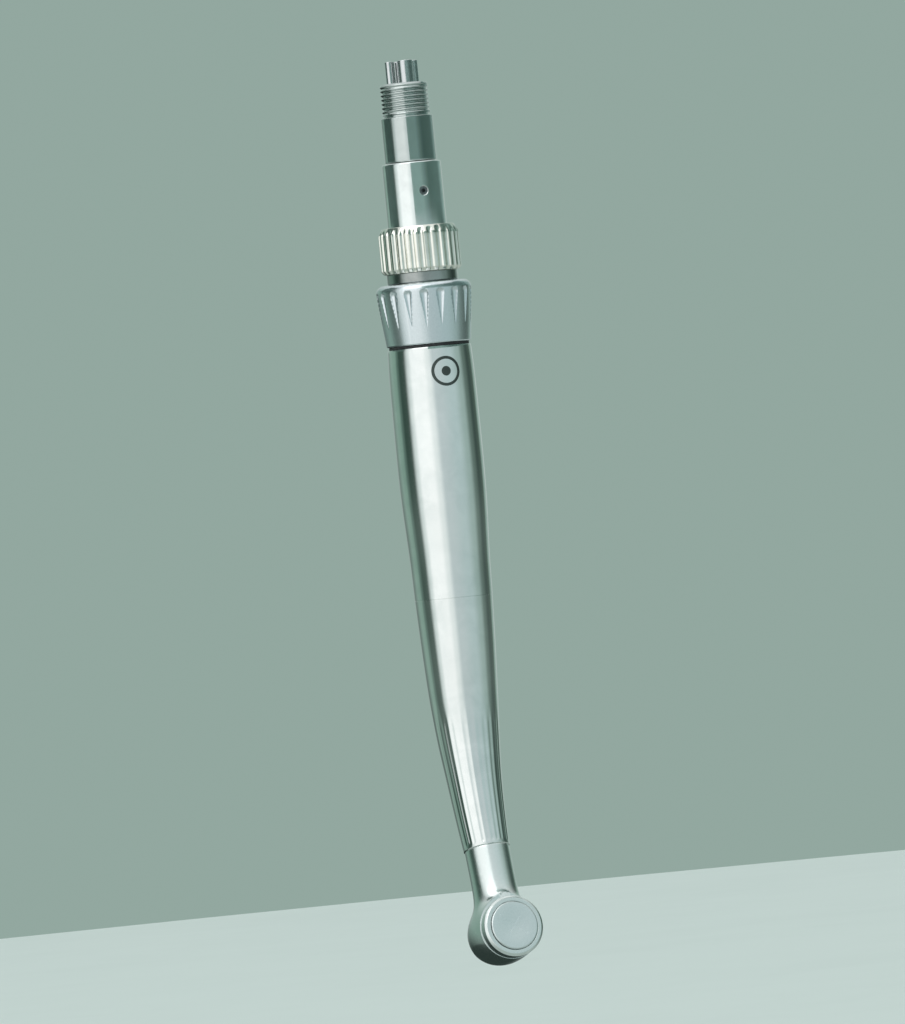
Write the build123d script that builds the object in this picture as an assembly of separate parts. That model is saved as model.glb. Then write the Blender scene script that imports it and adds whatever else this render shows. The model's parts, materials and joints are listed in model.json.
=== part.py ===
from build123d import *
import math
import os

# High speed dental handpiece on its quick coupler, hung head down.
# Millimetres. +Z runs up the coupler's axis, towards the hose. The origin is on
# that axis, on the rear face of the hose thread. The head's cap faces -Y.

# ---------------------------------------------------------------- clearances
RUN_GAP = 0.06          # radial gap of a turning or sliding fit
FACE_GAP = 0.10         # axial gap between faces that turn or part
SEAT_GAP = 0.02         # gap of a seat that is glued, screwed or lightly pressed
RUBBER_GAP = 0.03       # gap left round a rubber ring
BALL_GAP = 0.03         # gap round a bearing ball in its track and in its pocket
GROOVE_GAP = 0.05       # gap at each side of a rubber ring in its groove
OVERCUT = 1.0           # how far a cutter runs past the face it opens
EDGE_BREAK = 0.3        # bevel on the broken edges of turned pieces

# ---------------------------------------------------------------- coupler tail
THREAD_R = 4.3
THREAD_L = 6.0
THREAD_LEAD = 0.4
TAIL_R = 4.6
TAIL_L = 8.1
STEM_R = 3.0
STEM_L = 9.9
PASSAGE_R = 0.75        # air passages through the stem
PASSAGE_OFF = 1.1
FINE_PASSAGE_R = 0.35   # water and chip air passages through the stem
FINE_PASSAGE_OFF = 1.5
PIPE_RISE = 4.0         # pipes stand this far out of the rear face
PIPE_SEAT_L = 12.0
PIPE_WALL = 0.25
PIPES = {
    "drive_air_pipe": (0.0, 1.95, 1.1),
    "exhaust_pipe": (0.0, -1.75, 1.4),
    "water_pipe": (2.3, 0.2, 0.75),
    "chip_air_pipe": (-2.3, 0.2, 0.75),
}
RETAINER_ROOM = 0.35    # between the retainer and the collar's bore
RETAINER_T = 1.6
SWIVEL_SEAL_R = 0.4     # section radius of the swivel's rubber rings
SWIVEL_SEALS = 2
SWIVEL_SEAL_PITCH = 2.6
SWIVEL_SEAL_DROP = 1.6  # first ring, below the boss face

# ---------------------------------------------------------------- coupler body
COLLAR_R = 5.25
COLLAR_SHOWN = 11.4
COLLAR_WALL = 1.05
COLLAR_LIP_T = 1.0
SPRING_STOP_RISE = 0.95 # flange at the collar's foot that backs the spring
SPRING_STOP_T = 1.0
SET_SCREW_R = 0.75
SET_SCREW_DROP = 5.3    # below the collar's top
SET_SCREW_SINK = 0.35
SET_SCREW_KEY = 0.7     # across flats
SET_SCREW_KEY_DEPTH = 0.45
SPIGOT_FLANGE_RISE = 1.05
SPIGOT_FLANGE_T = 1.8
SPIGOT_LAND_STEP = 0.19
SPIGOT_LAND_L = 2.2
SPIGOT_L = 22.0
SPIGOT_LEAD = 0.6
AIR_PASSAGE_R = 0.85
AIR_PASSAGE_OFF = 1.75
FINE_PORT_R = 0.45
FINE_PORT_OFF = 2.1
SPIGOT_SEALS = 3
SPIGOT_SEAL_R = 0.5
SPIGOT_SEAL_DROP = 8.0  # first rubber ring, below the flange
SPIGOT_SEAL_PITCH = 4.6
LOCK_RING_R = 0.35
LOCK_RING_DROP = 4.3
LOCK_RING_BITE = 0.20   # how far the split ring stands into the socket's groove
LOCK_RING_OPEN_DEG = 40

# ---------------------------------------------------------------- release ring
RING_WALL = 0.94
RING_L = 8.2
RING_LIP_T = 1.0
RING_CAP_T = 0.8
RING_TOP_CHAMFER = 1.4
RING_FOOT_CHAMFER = 0.5
KNURL_COUNT = 27
KNURL_R = 0.5
KNURL_DEPTH = 0.32
SPRING_WIRE_R = 0.22
SPRING_TURNS = 4

# ---------------------------------------------------------------- handpiece, rear
SOCKET_R = 4.05
SOCKET_WALL = 1.35
SOCKET_L = 24.8
SOCKET_LEAD = 0.4
GRIP_TOP_R = 8.5
GRIP_FOOT_R = 7.55
GRIP_L = 11.0
GRIP_EDGE = 1.3
GRIP_FOOT_SLOPE = 0.08
FLUTE_COUNT = 18
FLUTE_R = 0.8
FLUTE_L = 6.6
FLUTE_DROP = 1.3        # from the top face to the flute's round head
FLUTE_DEPTH = 0.38
FLUTE_POINT_R = 0.05
SEAL_T = 0.5
SEAL_R = 7.15
SHELL_WALL = 1.0
REAR_SHELL_L = 44.8
REAR_SHELL_SEAT_L = 9.0
SHELL_STEP = 0.3        # the wall is thinner by this, above its thicker front end
SHELL_THICK_L = 12.0
REAR_SHELL_OUTLINE = ((0.0, 7.45), (3.0, 7.58), (12.0, 7.7), (26.0, 7.65), (39.0, 7.1))
SEAM_R = 6.95
SEAM_BEVEL = 0.12
MANIFOLD_T = 3.5

# ---------------------------------------------------------------- handpiece, front
FRONT_STRAIGHT = 14.0
KNEE_DEG = 16.0
KNEE_ARC = 31.4
FRONT_OUTLINE = ((10.0, 6.55), (24.0, 5.72), (33.0, 4.95), (39.0, 4.55))
FRONT_END_R = 4.15
FRONT_WALL = 0.9
NECK_L = 15.4           # from the shell's end to the middle of the head
NECK_STEP = 0.2         # the neck is smaller than the shell's end by this
NECK_HEAD_R = 3.7
NECK_PLUG_ROOM = 0.3    # between the plug and the shell's bore
NECK_PLUG_L = 6.0
NECK_PLUG_WALL = 0.35
EXHAUST_R = 0.7
EXHAUST_OFF = 2.3
DRIVE_TUBE_R = 1.0
FINE_TUBE_R = 0.5
FINE_TUBE_OFF = 1.8
TUBE_WALL = 0.2
TUBE_INTO_NECK = 5.0

# ---------------------------------------------------------------- head
CAP_TILT_DEG = 12.0     # the cap's normal rises this far above -Y
DRUM_R = 5.6
DRUM_RIM_STEP = 0.15
NOSE_STEP = 1.7
NOSE_DROP = 6.2
NOSE_BEVEL_W = 0.5
NOSE_BEVEL_H = 0.45
NOSE_FLARE = 0.62
NOSE_HOLE_GAP = 0.3     # round the spindle
DRUM_WIDEST = -0.4
RIM_TAPER = 0.08
CAP_STEP = 0.1
CAP_RISE = 6.2
CAP_EDGE = 0.45
CAP_LIP_T = 0.45
CAP_WEB_T = 0.4
CAP_SKIRT_WALL = 0.435
CAP_RIM_W = 1.2
BUTTON_STEP = 0.4       # flange that holds the button under the cap's lip
BUTTON_FLANGE_T = 0.35
BUTTON_PROUD = 0.35
BUTTON_TRAVEL = 0.8
BUTTON_EDGE = 0.25
BUTTON_BOSS_R = 1.3
BUTTON_DISH = 0.12
BUTTON_DISH_R = 2.6
BOSS_HOLE_GAP = 0.3     # round the button's boss
SPRING_DISC_T = 0.12
SEAL_GROOVE_DEPTH = 0.6
CAP_SEAL_R = 0.28
SPRAY_RING_ROOM = 0.4125
SPRAY_RING_W = 1.4
SPRAY_RING_T = 0.7
SPRAY_HOLES = 3
SPRAY_HOLE_R = 0.22

# ---------------------------------------------------------------- turbine
SPINDLE_R = 1.5875
SPINDLE_BORE_R = 1.2
SPINDLE_NOSE_OUT = 0.5  # the spindle stands this far out of the nose
RACE_SECTION = 1.5875   # from the spindle to the outside of the bearing
RACE_W = 2.38
INNER_RACE_WALL = 0.4625
OUTER_RACE_WALL = 0.455
BALL_R = 0.5
BALLS = 7
BALL_RISE = 0.7925      # from the spindle to the balls' middles
CAGE_W = 1.3
CAGE_WALL = 0.4
RACE_SEAL_R = 0.28      # section of the rubber rings round the outer races
IMPELLER_ROOM = 0.26    # between the impeller and its chamber
IMPELLER_W = 2.8
IMPELLER_GAP = 0.4
BUCKETS = 10
BUCKET_R = 1.0
WASHER_H = 0.4
WASHER_T = 0.12
BUR_SHANK_R = 0.8
COLLET_L = 8.6
COLLET_SLOT_W = 0.2
COLLET_SLOTS = 3
COLLET_RING_L = 2.5     # unslotted front end
PLUNGER_GAP = 0.6       # above the collet
PLUNGER_TO_BUTTON = 0.3
PLUNGER_NECK_R = 0.9
PLUNGER_HEAD_L = 1.0
SPINDLE_BELOW_BUTTON = 0.25

# ---------------------------------------------------------------- levels
Z_THREAD = -THREAD_L
Z_TAIL = Z_THREAD - TAIL_L
Z_STEM = Z_TAIL - STEM_L
Z_COLLAR = Z_TAIL - FACE_GAP
Z_LIP = Z_COLLAR - COLLAR_LIP_T
Z_RETAINER = Z_LIP - FACE_GAP
Z_RING = Z_COLLAR - COLLAR_SHOWN
Z_RING_FOOT = Z_RING - RING_L
Z_SPRING_STOP = Z_RING - RING_CAP_T - FACE_GAP
Z_COLLAR_FOOT = Z_SPRING_STOP - SPRING_STOP_T
Z_BOSS = Z_RETAINER - RETAINER_T - FACE_GAP
Z_BOSS_BORE = Z_STEM - FACE_GAP
Z_FLANGE_FOOT = Z_RING_FOOT - SPIGOT_FLANGE_T
Z_SPIGOT_END = Z_FLANGE_FOOT - SPIGOT_L
Z_GRIP = Z_FLANGE_FOOT - FACE_GAP
Z_GRIP_FOOT = Z_GRIP - GRIP_L
Z_REAR_SHELL = Z_GRIP_FOOT - SEAL_T
Z_SEAM = Z_REAR_SHELL - REAR_SHELL_L
Z_KNEE = Z_SEAM - FRONT_STRAIGHT
Z_SOCKET_END = Z_GRIP - SOCKET_L
Z_MANIFOLD_END = Z_SOCKET_END - MANIFOLD_T

# radii that follow from others
SOCKET_OUT_R = SOCKET_R + SOCKET_WALL
SPIGOT_LAND_R = SOCKET_R - RUN_GAP
SPIGOT_R = SPIGOT_LAND_R - SPIGOT_LAND_STEP
SPIGOT_FLANGE_R = COLLAR_R + SPIGOT_FLANGE_RISE
COLLAR_BORE_R = COLLAR_R - COLLAR_WALL
RETAINER_R = COLLAR_BORE_R - RETAINER_ROOM
SPRING_STOP_R = COLLAR_R + SPRING_STOP_RISE
RING_BORE_R = COLLAR_R + RUN_GAP
RING_POCKET_R = SPRING_STOP_R + RUN_GAP
RING_R = RING_POCKET_R + RING_WALL
KNEE_R = KNEE_ARC / math.radians(KNEE_DEG)
LOCK_RING_MID_R = SOCKET_R + LOCK_RING_BITE - LOCK_RING_R
NECK_REAR_R = FRONT_END_R - NECK_STEP
NECK_PLUG_R = FRONT_END_R - FRONT_WALL - NECK_PLUG_ROOM
DRUM_RIM_R = DRUM_R - DRUM_RIM_STEP
NOSE_R = DRUM_R - NOSE_STEP
CAP_R = DRUM_R - CAP_STEP
BUTTON_R = CAP_R - CAP_RIM_W
SPRAY_RING_IN = SPINDLE_R + SPRAY_RING_ROOM
SPRAY_RING_OUT = SPRAY_RING_IN + SPRAY_RING_W
RACE_R = SPINDLE_R + RACE_SECTION
RACE_IN_R = SPINDLE_R + INNER_RACE_WALL
RACE_OUT_R = RACE_R - OUTER_RACE_WALL
BALL_PITCH_R = SPINDLE_R + BALL_RISE
RACE_SEAL_GROOVE_R = RACE_R + 2 * RACE_SEAL_R + RUBBER_GAP
CAP_SKIRT_R = RACE_SEAL_GROOVE_R + CAP_SKIRT_WALL
CHAMBER_R = CAP_SKIRT_R + RUN_GAP
IMPELLER_R = CHAMBER_R - IMPELLER_ROOM

# heights in the head, along its own axis, from the middle of the neck
CAP_LIP = CAP_RISE - CAP_LIP_T
BUTTON_FLANGE_TOP = CAP_LIP - RUN_GAP
BUTTON_FLANGE_FOOT = BUTTON_FLANGE_TOP - BUTTON_FLANGE_T
BUTTON_TOP = CAP_RISE + BUTTON_PROUD
WEB_TOP = BUTTON_FLANGE_FOOT - BUTTON_TRAVEL - 2 * SPRING_DISC_T
WEB_FOOT = WEB_TOP - CAP_WEB_T
RIM = WEB_FOOT
REAR_RACE_TOP = WEB_FOOT - SEAT_GAP
REAR_RACE_FOOT = REAR_RACE_TOP - RACE_W
IMPELLER_TOP = REAR_RACE_FOOT - IMPELLER_GAP
IMPELLER_FOOT = IMPELLER_TOP - IMPELLER_W
FRONT_RACE_TOP = IMPELLER_FOOT - IMPELLER_GAP
FRONT_RACE_FOOT = FRONT_RACE_TOP - RACE_W
BEARING_FLOOR = FRONT_RACE_FOOT - WASHER_H
SPINDLE_NOSE = -NOSE_DROP - SPINDLE_NOSE_OUT
COLLET_TOP = SPINDLE_NOSE + COLLET_L
PLUNGER_FOOT = COLLET_TOP + PLUNGER_GAP
BOSS_FOOT = WEB_TOP + BUTTON_TRAVEL - PLUNGER_TO_BUTTON
PLUNGER_TOP = BOSS_FOOT - PLUNGER_TO_BUTTON
SPINDLE_TOP = BOSS_FOOT - BUTTON_TRAVEL - SPINDLE_BELOW_BUTTON

UP = (Align.CENTER, Align.CENTER, Align.MIN)


# ---------------------------------------------------------------- shape helpers
def rod(top, foot, radius, x=0.0, y=0.0):
    """A round bar along Z between two levels."""
    return Pos(x, y, foot) * Cylinder(radius, top - foot, align=UP)


def tube(top, foot, outer, inner, x=0.0, y=0.0):
    """A round tube along Z between two levels."""
    return rod(top, foot, outer, x, y) - rod(top, foot, inner, x, y)


def turned(points):
    """A solid turned about Z from a closed outline of (radius, level) points."""
    corners = [(radius, 0.0, level) for radius, level in points]
    return revolve(make_face(Polyline(*corners, close=True)), Axis.Z)


def rubber_ring(level, middle_r, section_r):
    """A rubber ring of round section."""
    return Pos(0, 0, level) * Torus(middle_r, section_r)


def square_groove(level, floor_r, lip_r, half_width):
    """The waste of a square groove turned into a shaft or a bore."""
    return tube(level + half_width, level - half_width, lip_r, floor_r)


def around(count, piece, start_deg=0.0):
    """Copies of a piece, evenly turned about Z."""
    return [Rot(0, 0, start_deg + 360.0 / count * k) * piece for k in range(count)]


def knee_plane(along):
    """The plane square to the front shell's centre line, a length below the seam."""
    if along <= FRONT_STRAIGHT:
        return Plane(origin=(0, 0, Z_SEAM - along), x_dir=(1, 0, 0), z_dir=(0, 0, -1))
    turn = min(along - FRONT_STRAIGHT, KNEE_ARC) / KNEE_R
    beyond = max(along - FRONT_STRAIGHT - KNEE_ARC, 0.0)
    y = -KNEE_R * (1 - math.cos(turn)) - beyond * math.sin(turn)
    z = Z_KNEE - KNEE_R * math.sin(turn) - beyond * math.cos(turn)
    return Plane(origin=(0, y, z), x_dir=(1, 0, 0), z_dir=(0, -math.sin(turn), -math.cos(turn)))


FRONT_L = FRONT_STRAIGHT + KNEE_ARC
NECK_PLANE = knee_plane(FRONT_L)
TILT = math.radians(CAP_TILT_DEG)
HEAD_PLANE = Plane(
    origin=knee_plane(FRONT_L + NECK_L).origin,
    x_dir=(1, 0, 0),
    z_dir=(0, -math.cos(TILT), math.sin(TILT)),
)


def in_head(piece):
    """Moves a piece made on the head's own axis to its place."""
    return HEAD_PLANE.location * piece


# ---------------------------------------------------------------- coupler tail
def coupler_tail():
    body = turned([
        (0, 0), (THREAD_R - THREAD_LEAD, 0), (THREAD_R, -THREAD_LEAD), (THREAD_R, Z_THREAD),
        (TAIL_R, Z_THREAD), (TAIL_R, Z_TAIL + EDGE_BREAK), (TAIL_R - EDGE_BREAK, Z_TAIL),
        (STEM_R, Z_TAIL), (STEM_R, Z_STEM + EDGE_BREAK), (STEM_R - EDGE_BREAK, Z_STEM), (0, Z_STEM),
    ])
    for x, y, radius in PIPES.values():
        body -= rod(0, -PIPE_SEAT_L, radius + SEAT_GAP, x, y)
    for side in (1, -1):
        body -= rod(-PIPE_SEAT_L, Z_STEM, PASSAGE_R, 0, side * PASSAGE_OFF)
        body -= rod(-PIPE_SEAT_L, Z_STEM, FINE_PASSAGE_R, side * FINE_PASSAGE_OFF, 0)
    for level in swivel_seal_levels():
        floor_r = swivel_seal_mid_r() - SWIVEL_SEAL_R
        body -= square_groove(level, floor_r, STEM_R + OVERCUT, SWIVEL_SEAL_R + GROOVE_GAP)
    return body


def swivel_seal_levels():
    first = Z_BOSS - SWIVEL_SEAL_DROP
    return [first - SWIVEL_SEAL_PITCH * k for k in range(SWIVEL_SEALS)]


def swivel_seal_mid_r():
    return STEM_R + RUN_GAP - RUBBER_GAP - SWIVEL_SEAL_R


def pipe(x, y, radius):
    return tube(PIPE_RISE, -PIPE_SEAT_L, radius, radius - PIPE_WALL, x, y)


def swivel_retainer():
    return tube(Z_RETAINER, Z_RETAINER - RETAINER_T, RETAINER_R, STEM_R)


# ---------------------------------------------------------------- coupler body
def set_screw_level():
    return Z_COLLAR - SET_SCREW_DROP


def coupler_collar():
    bore = COLLAR_BORE_R
    body = turned([
        (STEM_R + RUN_GAP, Z_COLLAR), (COLLAR_R - EDGE_BREAK, Z_COLLAR), (COLLAR_R, Z_COLLAR - EDGE_BREAK),
        (COLLAR_R, Z_SPRING_STOP), (SPRING_STOP_R, Z_SPRING_STOP), (SPRING_STOP_R, Z_COLLAR_FOOT),
        (bore, Z_COLLAR_FOOT), (bore, Z_LIP), (STEM_R + RUN_GAP, Z_LIP),
    ])
    hole = Cylinder(SET_SCREW_R + SEAT_GAP, 2 * COLLAR_R, align=UP)
    return body - Pos(0, 0, set_screw_level()) * Rot(90, 0, 0) * hole


def collar_set_screw():
    outer = COLLAR_R - SET_SCREW_SINK
    inner = COLLAR_BORE_R - SEAT_GAP
    screw = Pos(0, 0, inner) * Cylinder(SET_SCREW_R, outer - inner, align=UP)
    key = extrude(RegularPolygon(SET_SCREW_KEY / 2, 6, major_radius=False), outer)
    screw -= Pos(0, 0, outer - SET_SCREW_KEY_DEPTH) * key
    return Pos(0, 0, set_screw_level()) * Rot(90, 0, 0) * screw


def spigot_seal_levels():
    first = Z_FLANGE_FOOT - SPIGOT_SEAL_DROP
    return [first - SPIGOT_SEAL_PITCH * k for k in range(SPIGOT_SEALS)]


def spigot_seal_mid_r():
    return SOCKET_R - RUBBER_GAP - SPIGOT_SEAL_R


def coupler_spigot():
    boss_r = COLLAR_BORE_R - 2 * SEAT_GAP
    shaft_r = COLLAR_R
    z_land = Z_FLANGE_FOOT - SPIGOT_LAND_L
    z_front_land = Z_SPIGOT_END + SPIGOT_LAND_L
    body = turned([
        (0, Z_BOSS), (boss_r, Z_BOSS), (boss_r, Z_COLLAR_FOOT - SEAT_GAP),
        (shaft_r, Z_COLLAR_FOOT - SEAT_GAP),
        (shaft_r, Z_RING_FOOT), (SPIGOT_FLANGE_R, Z_RING_FOOT), (SPIGOT_FLANGE_R, Z_FLANGE_FOOT),
        (SPIGOT_LAND_R, Z_FLANGE_FOOT), (SPIGOT_LAND_R, z_land), (SPIGOT_R, z_land),
        (SPIGOT_R, z_front_land), (SPIGOT_LAND_R, z_front_land), (SPIGOT_LAND_R, Z_SPIGOT_END + SPIGOT_LEAD),
        (SPIGOT_LAND_R - SPIGOT_LEAD, Z_SPIGOT_END), (0, Z_SPIGOT_END),
    ])
    body -= rod(Z_BOSS, Z_BOSS_BORE, STEM_R + RUN_GAP)
    seals = spigot_seal_levels()
    for level in seals:
        floor_r = spigot_seal_mid_r() - SPIGOT_SEAL_R
        body -= square_groove(level, floor_r, SPIGOT_R + OVERCUT, SPIGOT_SEAL_R + GROOVE_GAP)
    lock_level = Z_FLANGE_FOOT - LOCK_RING_DROP
    lock_floor_r = LOCK_RING_MID_R - LOCK_RING_R
    body -= square_groove(lock_level, lock_floor_r, SPIGOT_R + OVERCUT, LOCK_RING_R + GROOVE_GAP)
    for side in (1, -1):
        body -= rod(Z_BOSS_BORE, Z_SPIGOT_END, AIR_PASSAGE_R, 0, side * AIR_PASSAGE_OFF)
        port_level = seals[1] + side * SPIGOT_SEAL_PITCH / 2
        body -= rod(Z_BOSS_BORE, port_level - FINE_PORT_R, FINE_PORT_R, side * FINE_PORT_OFF, 0)
        port = Rot(0, 90 * side, 0) * Cylinder(FINE_PORT_R, 2 * SPIGOT_R, align=UP)
        body -= Pos(side * FINE_PORT_OFF, 0, port_level) * port
    return body


def lock_ring():
    """A split ring of round spring wire that snaps into the socket's groove."""
    level = Z_FLANGE_FOOT - LOCK_RING_DROP
    section = Plane.XZ * Pos(LOCK_RING_MID_R, level) * Circle(LOCK_RING_R)
    ring = revolve(section, Axis.Z, 360 - LOCK_RING_OPEN_DEG)
    return Rot(0, 0, 90 + LOCK_RING_OPEN_DEG / 2) * ring


# ---------------------------------------------------------------- release ring
def release_ring():
    body = turned([
        (RING_POCKET_R, Z_RING), (RING_R - RING_TOP_CHAMFER / 2, Z_RING),
        (RING_R, Z_RING - RING_TOP_CHAMFER), (RING_R, Z_RING_FOOT + RING_FOOT_CHAMFER),
        (RING_R - RING_FOOT_CHAMFER, Z_RING_FOOT), (RING_BORE_R, Z_RING_FOOT),
        (RING_BORE_R, Z_RING_FOOT + RING_LIP_T), (RING_POCKET_R, Z_RING_FOOT + RING_LIP_T),
    ])
    foot = Z_RING_FOOT - OVERCUT
    groove = rod(Z_RING - RING_TOP_CHAMFER, foot, KNURL_R, RING_R + KNURL_R - KNURL_DEPTH)
    return body - around(KNURL_COUNT, groove)


def release_ring_cap():
    return tube(Z_RING, Z_RING - RING_CAP_T, RING_POCKET_R - SEAT_GAP, RING_BORE_R)


def release_spring():
    """A coil of round wire between the collar's flange and the ring's lip."""
    middle_r = (RING_BORE_R + RING_POCKET_R) / 2
    top = Z_COLLAR_FOOT - SPRING_WIRE_R - SEAT_GAP
    foot = Z_RING_FOOT + RING_LIP_T + SPRING_WIRE_R + SEAT_GAP
    height = top - foot
    coil = Helix(height / SPRING_TURNS, height, middle_r)
    section = Plane(origin=coil @ 0, z_dir=coil % 0) * Circle(SPRING_WIRE_R)
    return Pos(0, 0, foot) * sweep(section, path=coil, is_frenet=True)


# ---------------------------------------------------------------- handpiece, rear
def socket_liner():
    body = tube(Z_GRIP, Z_SOCKET_END, SOCKET_OUT_R, SOCKET_R)
    lead_in = Cone(SOCKET_R, SOCKET_R + SOCKET_LEAD, SOCKET_LEAD, align=UP)
    body -= Pos(0, 0, Z_GRIP - SOCKET_LEAD) * lead_in
    level = Z_FLANGE_FOOT - LOCK_RING_DROP
    reach = LOCK_RING_MID_R + LOCK_RING_R + RUN_GAP
    return body - square_groove(level, SOCKET_R - OVERCUT, reach, LOCK_RING_R + 2 * RUN_GAP)


def grip_ring():
    """The fluted bell at the handle's rear, widest near its rounded top edge."""
    bore = SOCKET_OUT_R + SEAT_GAP
    z_wide = Z_GRIP - GRIP_EDGE
    edge = Spline(
        (GRIP_TOP_R - GRIP_EDGE, 0, Z_GRIP), (GRIP_TOP_R, 0, z_wide),
        tangents=[(1, 0, 0), (0, 0, -1)],
    )
    flank = Spline(
        (GRIP_TOP_R, 0, z_wide), (GRIP_FOOT_R, 0, Z_GRIP_FOOT),
        tangents=[(0, 0, -1), (-GRIP_FOOT_SLOPE, 0, -1)],
    )
    rest = Polyline(
        (GRIP_FOOT_R, 0, Z_GRIP_FOOT), (bore, 0, Z_GRIP_FOOT), (bore, 0, Z_GRIP),
        (GRIP_TOP_R - GRIP_EDGE, 0, Z_GRIP),
    )
    body = revolve(make_face([edge, flank, rest]), Axis.Z)
    return body - around(FLUTE_COUNT, grip_flute())


def grip_flute():
    """The waste of one teardrop flute: a round head, and a cone that runs out to a point."""
    taper_l = FLUTE_L - FLUTE_R
    z_head = Z_GRIP - FLUTE_DROP - FLUTE_R
    run_out_r = GRIP_TOP_R - (GRIP_TOP_R - GRIP_FOOT_R) * (FLUTE_DROP + FLUTE_L) / GRIP_L
    head_r = GRIP_TOP_R + FLUTE_R - FLUTE_DEPTH
    lean = math.degrees(math.atan2(head_r - run_out_r, taper_l))
    taper = Rot(0, lean, 0) * Pos(0, 0, -taper_l) * Cone(FLUTE_POINT_R, FLUTE_R, taper_l, align=UP)
    return Pos(head_r, 0, z_head) * (Sphere(FLUTE_R) + taper)


def seal_ring():
    return tube(Z_GRIP_FOOT, Z_REAR_SHELL, SEAL_R, SOCKET_OUT_R + SEAT_GAP)


def rear_shell():
    points = [(radius, 0, Z_REAR_SHELL - drop) for drop, radius in REAR_SHELL_OUTLINE]
    seam = (SEAM_R, 0, Z_SEAM + SEAM_BEVEL)
    outline = Spline(*points, seam)
    seat_r = SOCKET_OUT_R + SEAT_GAP
    z_seat = Z_REAR_SHELL - REAR_SHELL_SEAT_L
    end_r = SEAM_R - SHELL_WALL
    thin_r = end_r + SHELL_STEP
    z_slope = z_seat - (thin_r - seat_r)
    rest = Polyline(
        seam, (SEAM_R - SEAM_BEVEL, 0, Z_SEAM), (end_r, 0, Z_SEAM), (thin_r, 0, Z_SEAM + SHELL_THICK_L),
        (thin_r, 0, z_slope), (seat_r, 0, z_seat), (seat_r, 0, Z_REAR_SHELL), points[0],
    )
    return revolve(make_face([outline, rest]), Axis.Z)


def tube_manifold():
    body = rod(Z_SOCKET_END, Z_MANIFOLD_END, SOCKET_OUT_R)
    for _, x, radius in feed_tubes():
        body -= rod(Z_SOCKET_END, Z_MANIFOLD_END, radius + SEAT_GAP, x, 0)
    return body - rod(Z_SOCKET_END, Z_MANIFOLD_END, AIR_PASSAGE_R, 0, -(DRIVE_TUBE_R + AIR_PASSAGE_OFF))


# ---------------------------------------------------------------- handpiece, front
def knee_loft(inset):
    """The front shell's round sections, carried along its bent centre line."""
    stations = ((0.0, SEAM_R),) + FRONT_OUTLINE + ((FRONT_L, FRONT_END_R),)
    return loft([knee_plane(along) * Circle(radius - inset) for along, radius in stations])


def front_shell():
    return knee_loft(0.0) - knee_loft(FRONT_WALL)


def feed_tubes():
    return (
        ("drive_air_tube", 0.0, DRIVE_TUBE_R),
        ("water_tube", FINE_TUBE_OFF, FINE_TUBE_R),
        ("chip_air_tube", -FINE_TUBE_OFF, FINE_TUBE_R),
    )


def feed_tube(x, radius):
    """A tube that runs down the handle and round the knee, into the head's neck."""
    top = Vector(x, 0, Z_SOCKET_END)
    knee = Vector(x, 0, Z_KNEE)
    across = Vector(x, 0, 0)
    bend_end = NECK_PLANE.origin + across
    end = bend_end + NECK_PLANE.z_dir * TUBE_INTO_NECK
    bend = TangentArc(knee, bend_end, tangent=(0, 0, -1))
    path = Wire([Edge.make_line(top, knee), bend.edge(), Edge.make_line(bend_end, end)])
    start = Plane(origin=top, x_dir=(1, 0, 0), z_dir=(0, 0, -1))
    return sweep(start * (Circle(radius) - Circle(radius - TUBE_WALL)), path=path)


# ---------------------------------------------------------------- head
def race_seat(floor, top, seal_level):
    """The waste of a bearing seat and of its rubber ring's groove."""
    half = RACE_SEAL_R + RUBBER_GAP
    return rod(top, floor, RACE_R + SEAT_GAP) + rod(seal_level + half, seal_level - half, RACE_SEAL_GROOVE_R)


def front_seal_level():
    return (FRONT_RACE_TOP + FRONT_RACE_FOOT) / 2


def rear_seal_level():
    return (REAR_RACE_TOP + REAR_RACE_FOOT) / 2


def head_housing():
    """The drum, with the short round neck that plugs into the front shell."""
    nose_edge = (NOSE_R + NOSE_BEVEL_W, 0, -NOSE_DROP + NOSE_BEVEL_H)
    belly = Spline(
        nose_edge, (DRUM_R, 0, DRUM_WIDEST), (DRUM_RIM_R, 0, RIM),
        tangents=[(NOSE_FLARE, 0, 1), (-RIM_TAPER, 0, 1)],
    )
    rest = Polyline(
        (DRUM_RIM_R, 0, RIM), (0, 0, RIM), (0, 0, -NOSE_DROP), (NOSE_R, 0, -NOSE_DROP), nose_edge,
    )
    drum = in_head(revolve(make_face([belly, rest]), Axis.Z))
    neck = NECK_PLANE.location * Cone(NECK_REAR_R, NECK_HEAD_R, NECK_L, align=UP)
    body = drum + neck
    body += NECK_PLANE.location * tube(0, -NECK_PLUG_L, NECK_PLUG_R, NECK_PLUG_R - NECK_PLUG_WALL)
    waste = rod(RIM, IMPELLER_FOOT - IMPELLER_GAP / 2, CHAMBER_R)
    waste += race_seat(BEARING_FLOOR, FRONT_RACE_TOP + IMPELLER_GAP, front_seal_level())
    waste += rod(BEARING_FLOOR, -NOSE_DROP, SPINDLE_R + NOSE_HOLE_GAP)
    waste += tube(-NOSE_DROP + SPRAY_RING_T, -NOSE_DROP, SPRAY_RING_OUT + SEAT_GAP, SPRAY_RING_IN - SEAT_GAP)
    seal_r = cap_seal_mid_r()
    waste += square_groove(RIM, seal_r - CAP_SEAL_R, seal_r + CAP_SEAL_R, SEAL_GROOVE_DEPTH)
    body -= in_head(waste)
    chamber = NECK_L - CHAMBER_R / 2
    for _, x, radius in feed_tubes():
        body -= NECK_PLANE.location * rod(TUBE_INTO_NECK, 0, radius + SEAT_GAP, x)
        body -= NECK_PLANE.location * rod(chamber, TUBE_INTO_NECK, radius - TUBE_WALL, x)
    return body - NECK_PLANE.location * rod(chamber, 0, EXHAUST_R, 0, EXHAUST_OFF)


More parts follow.
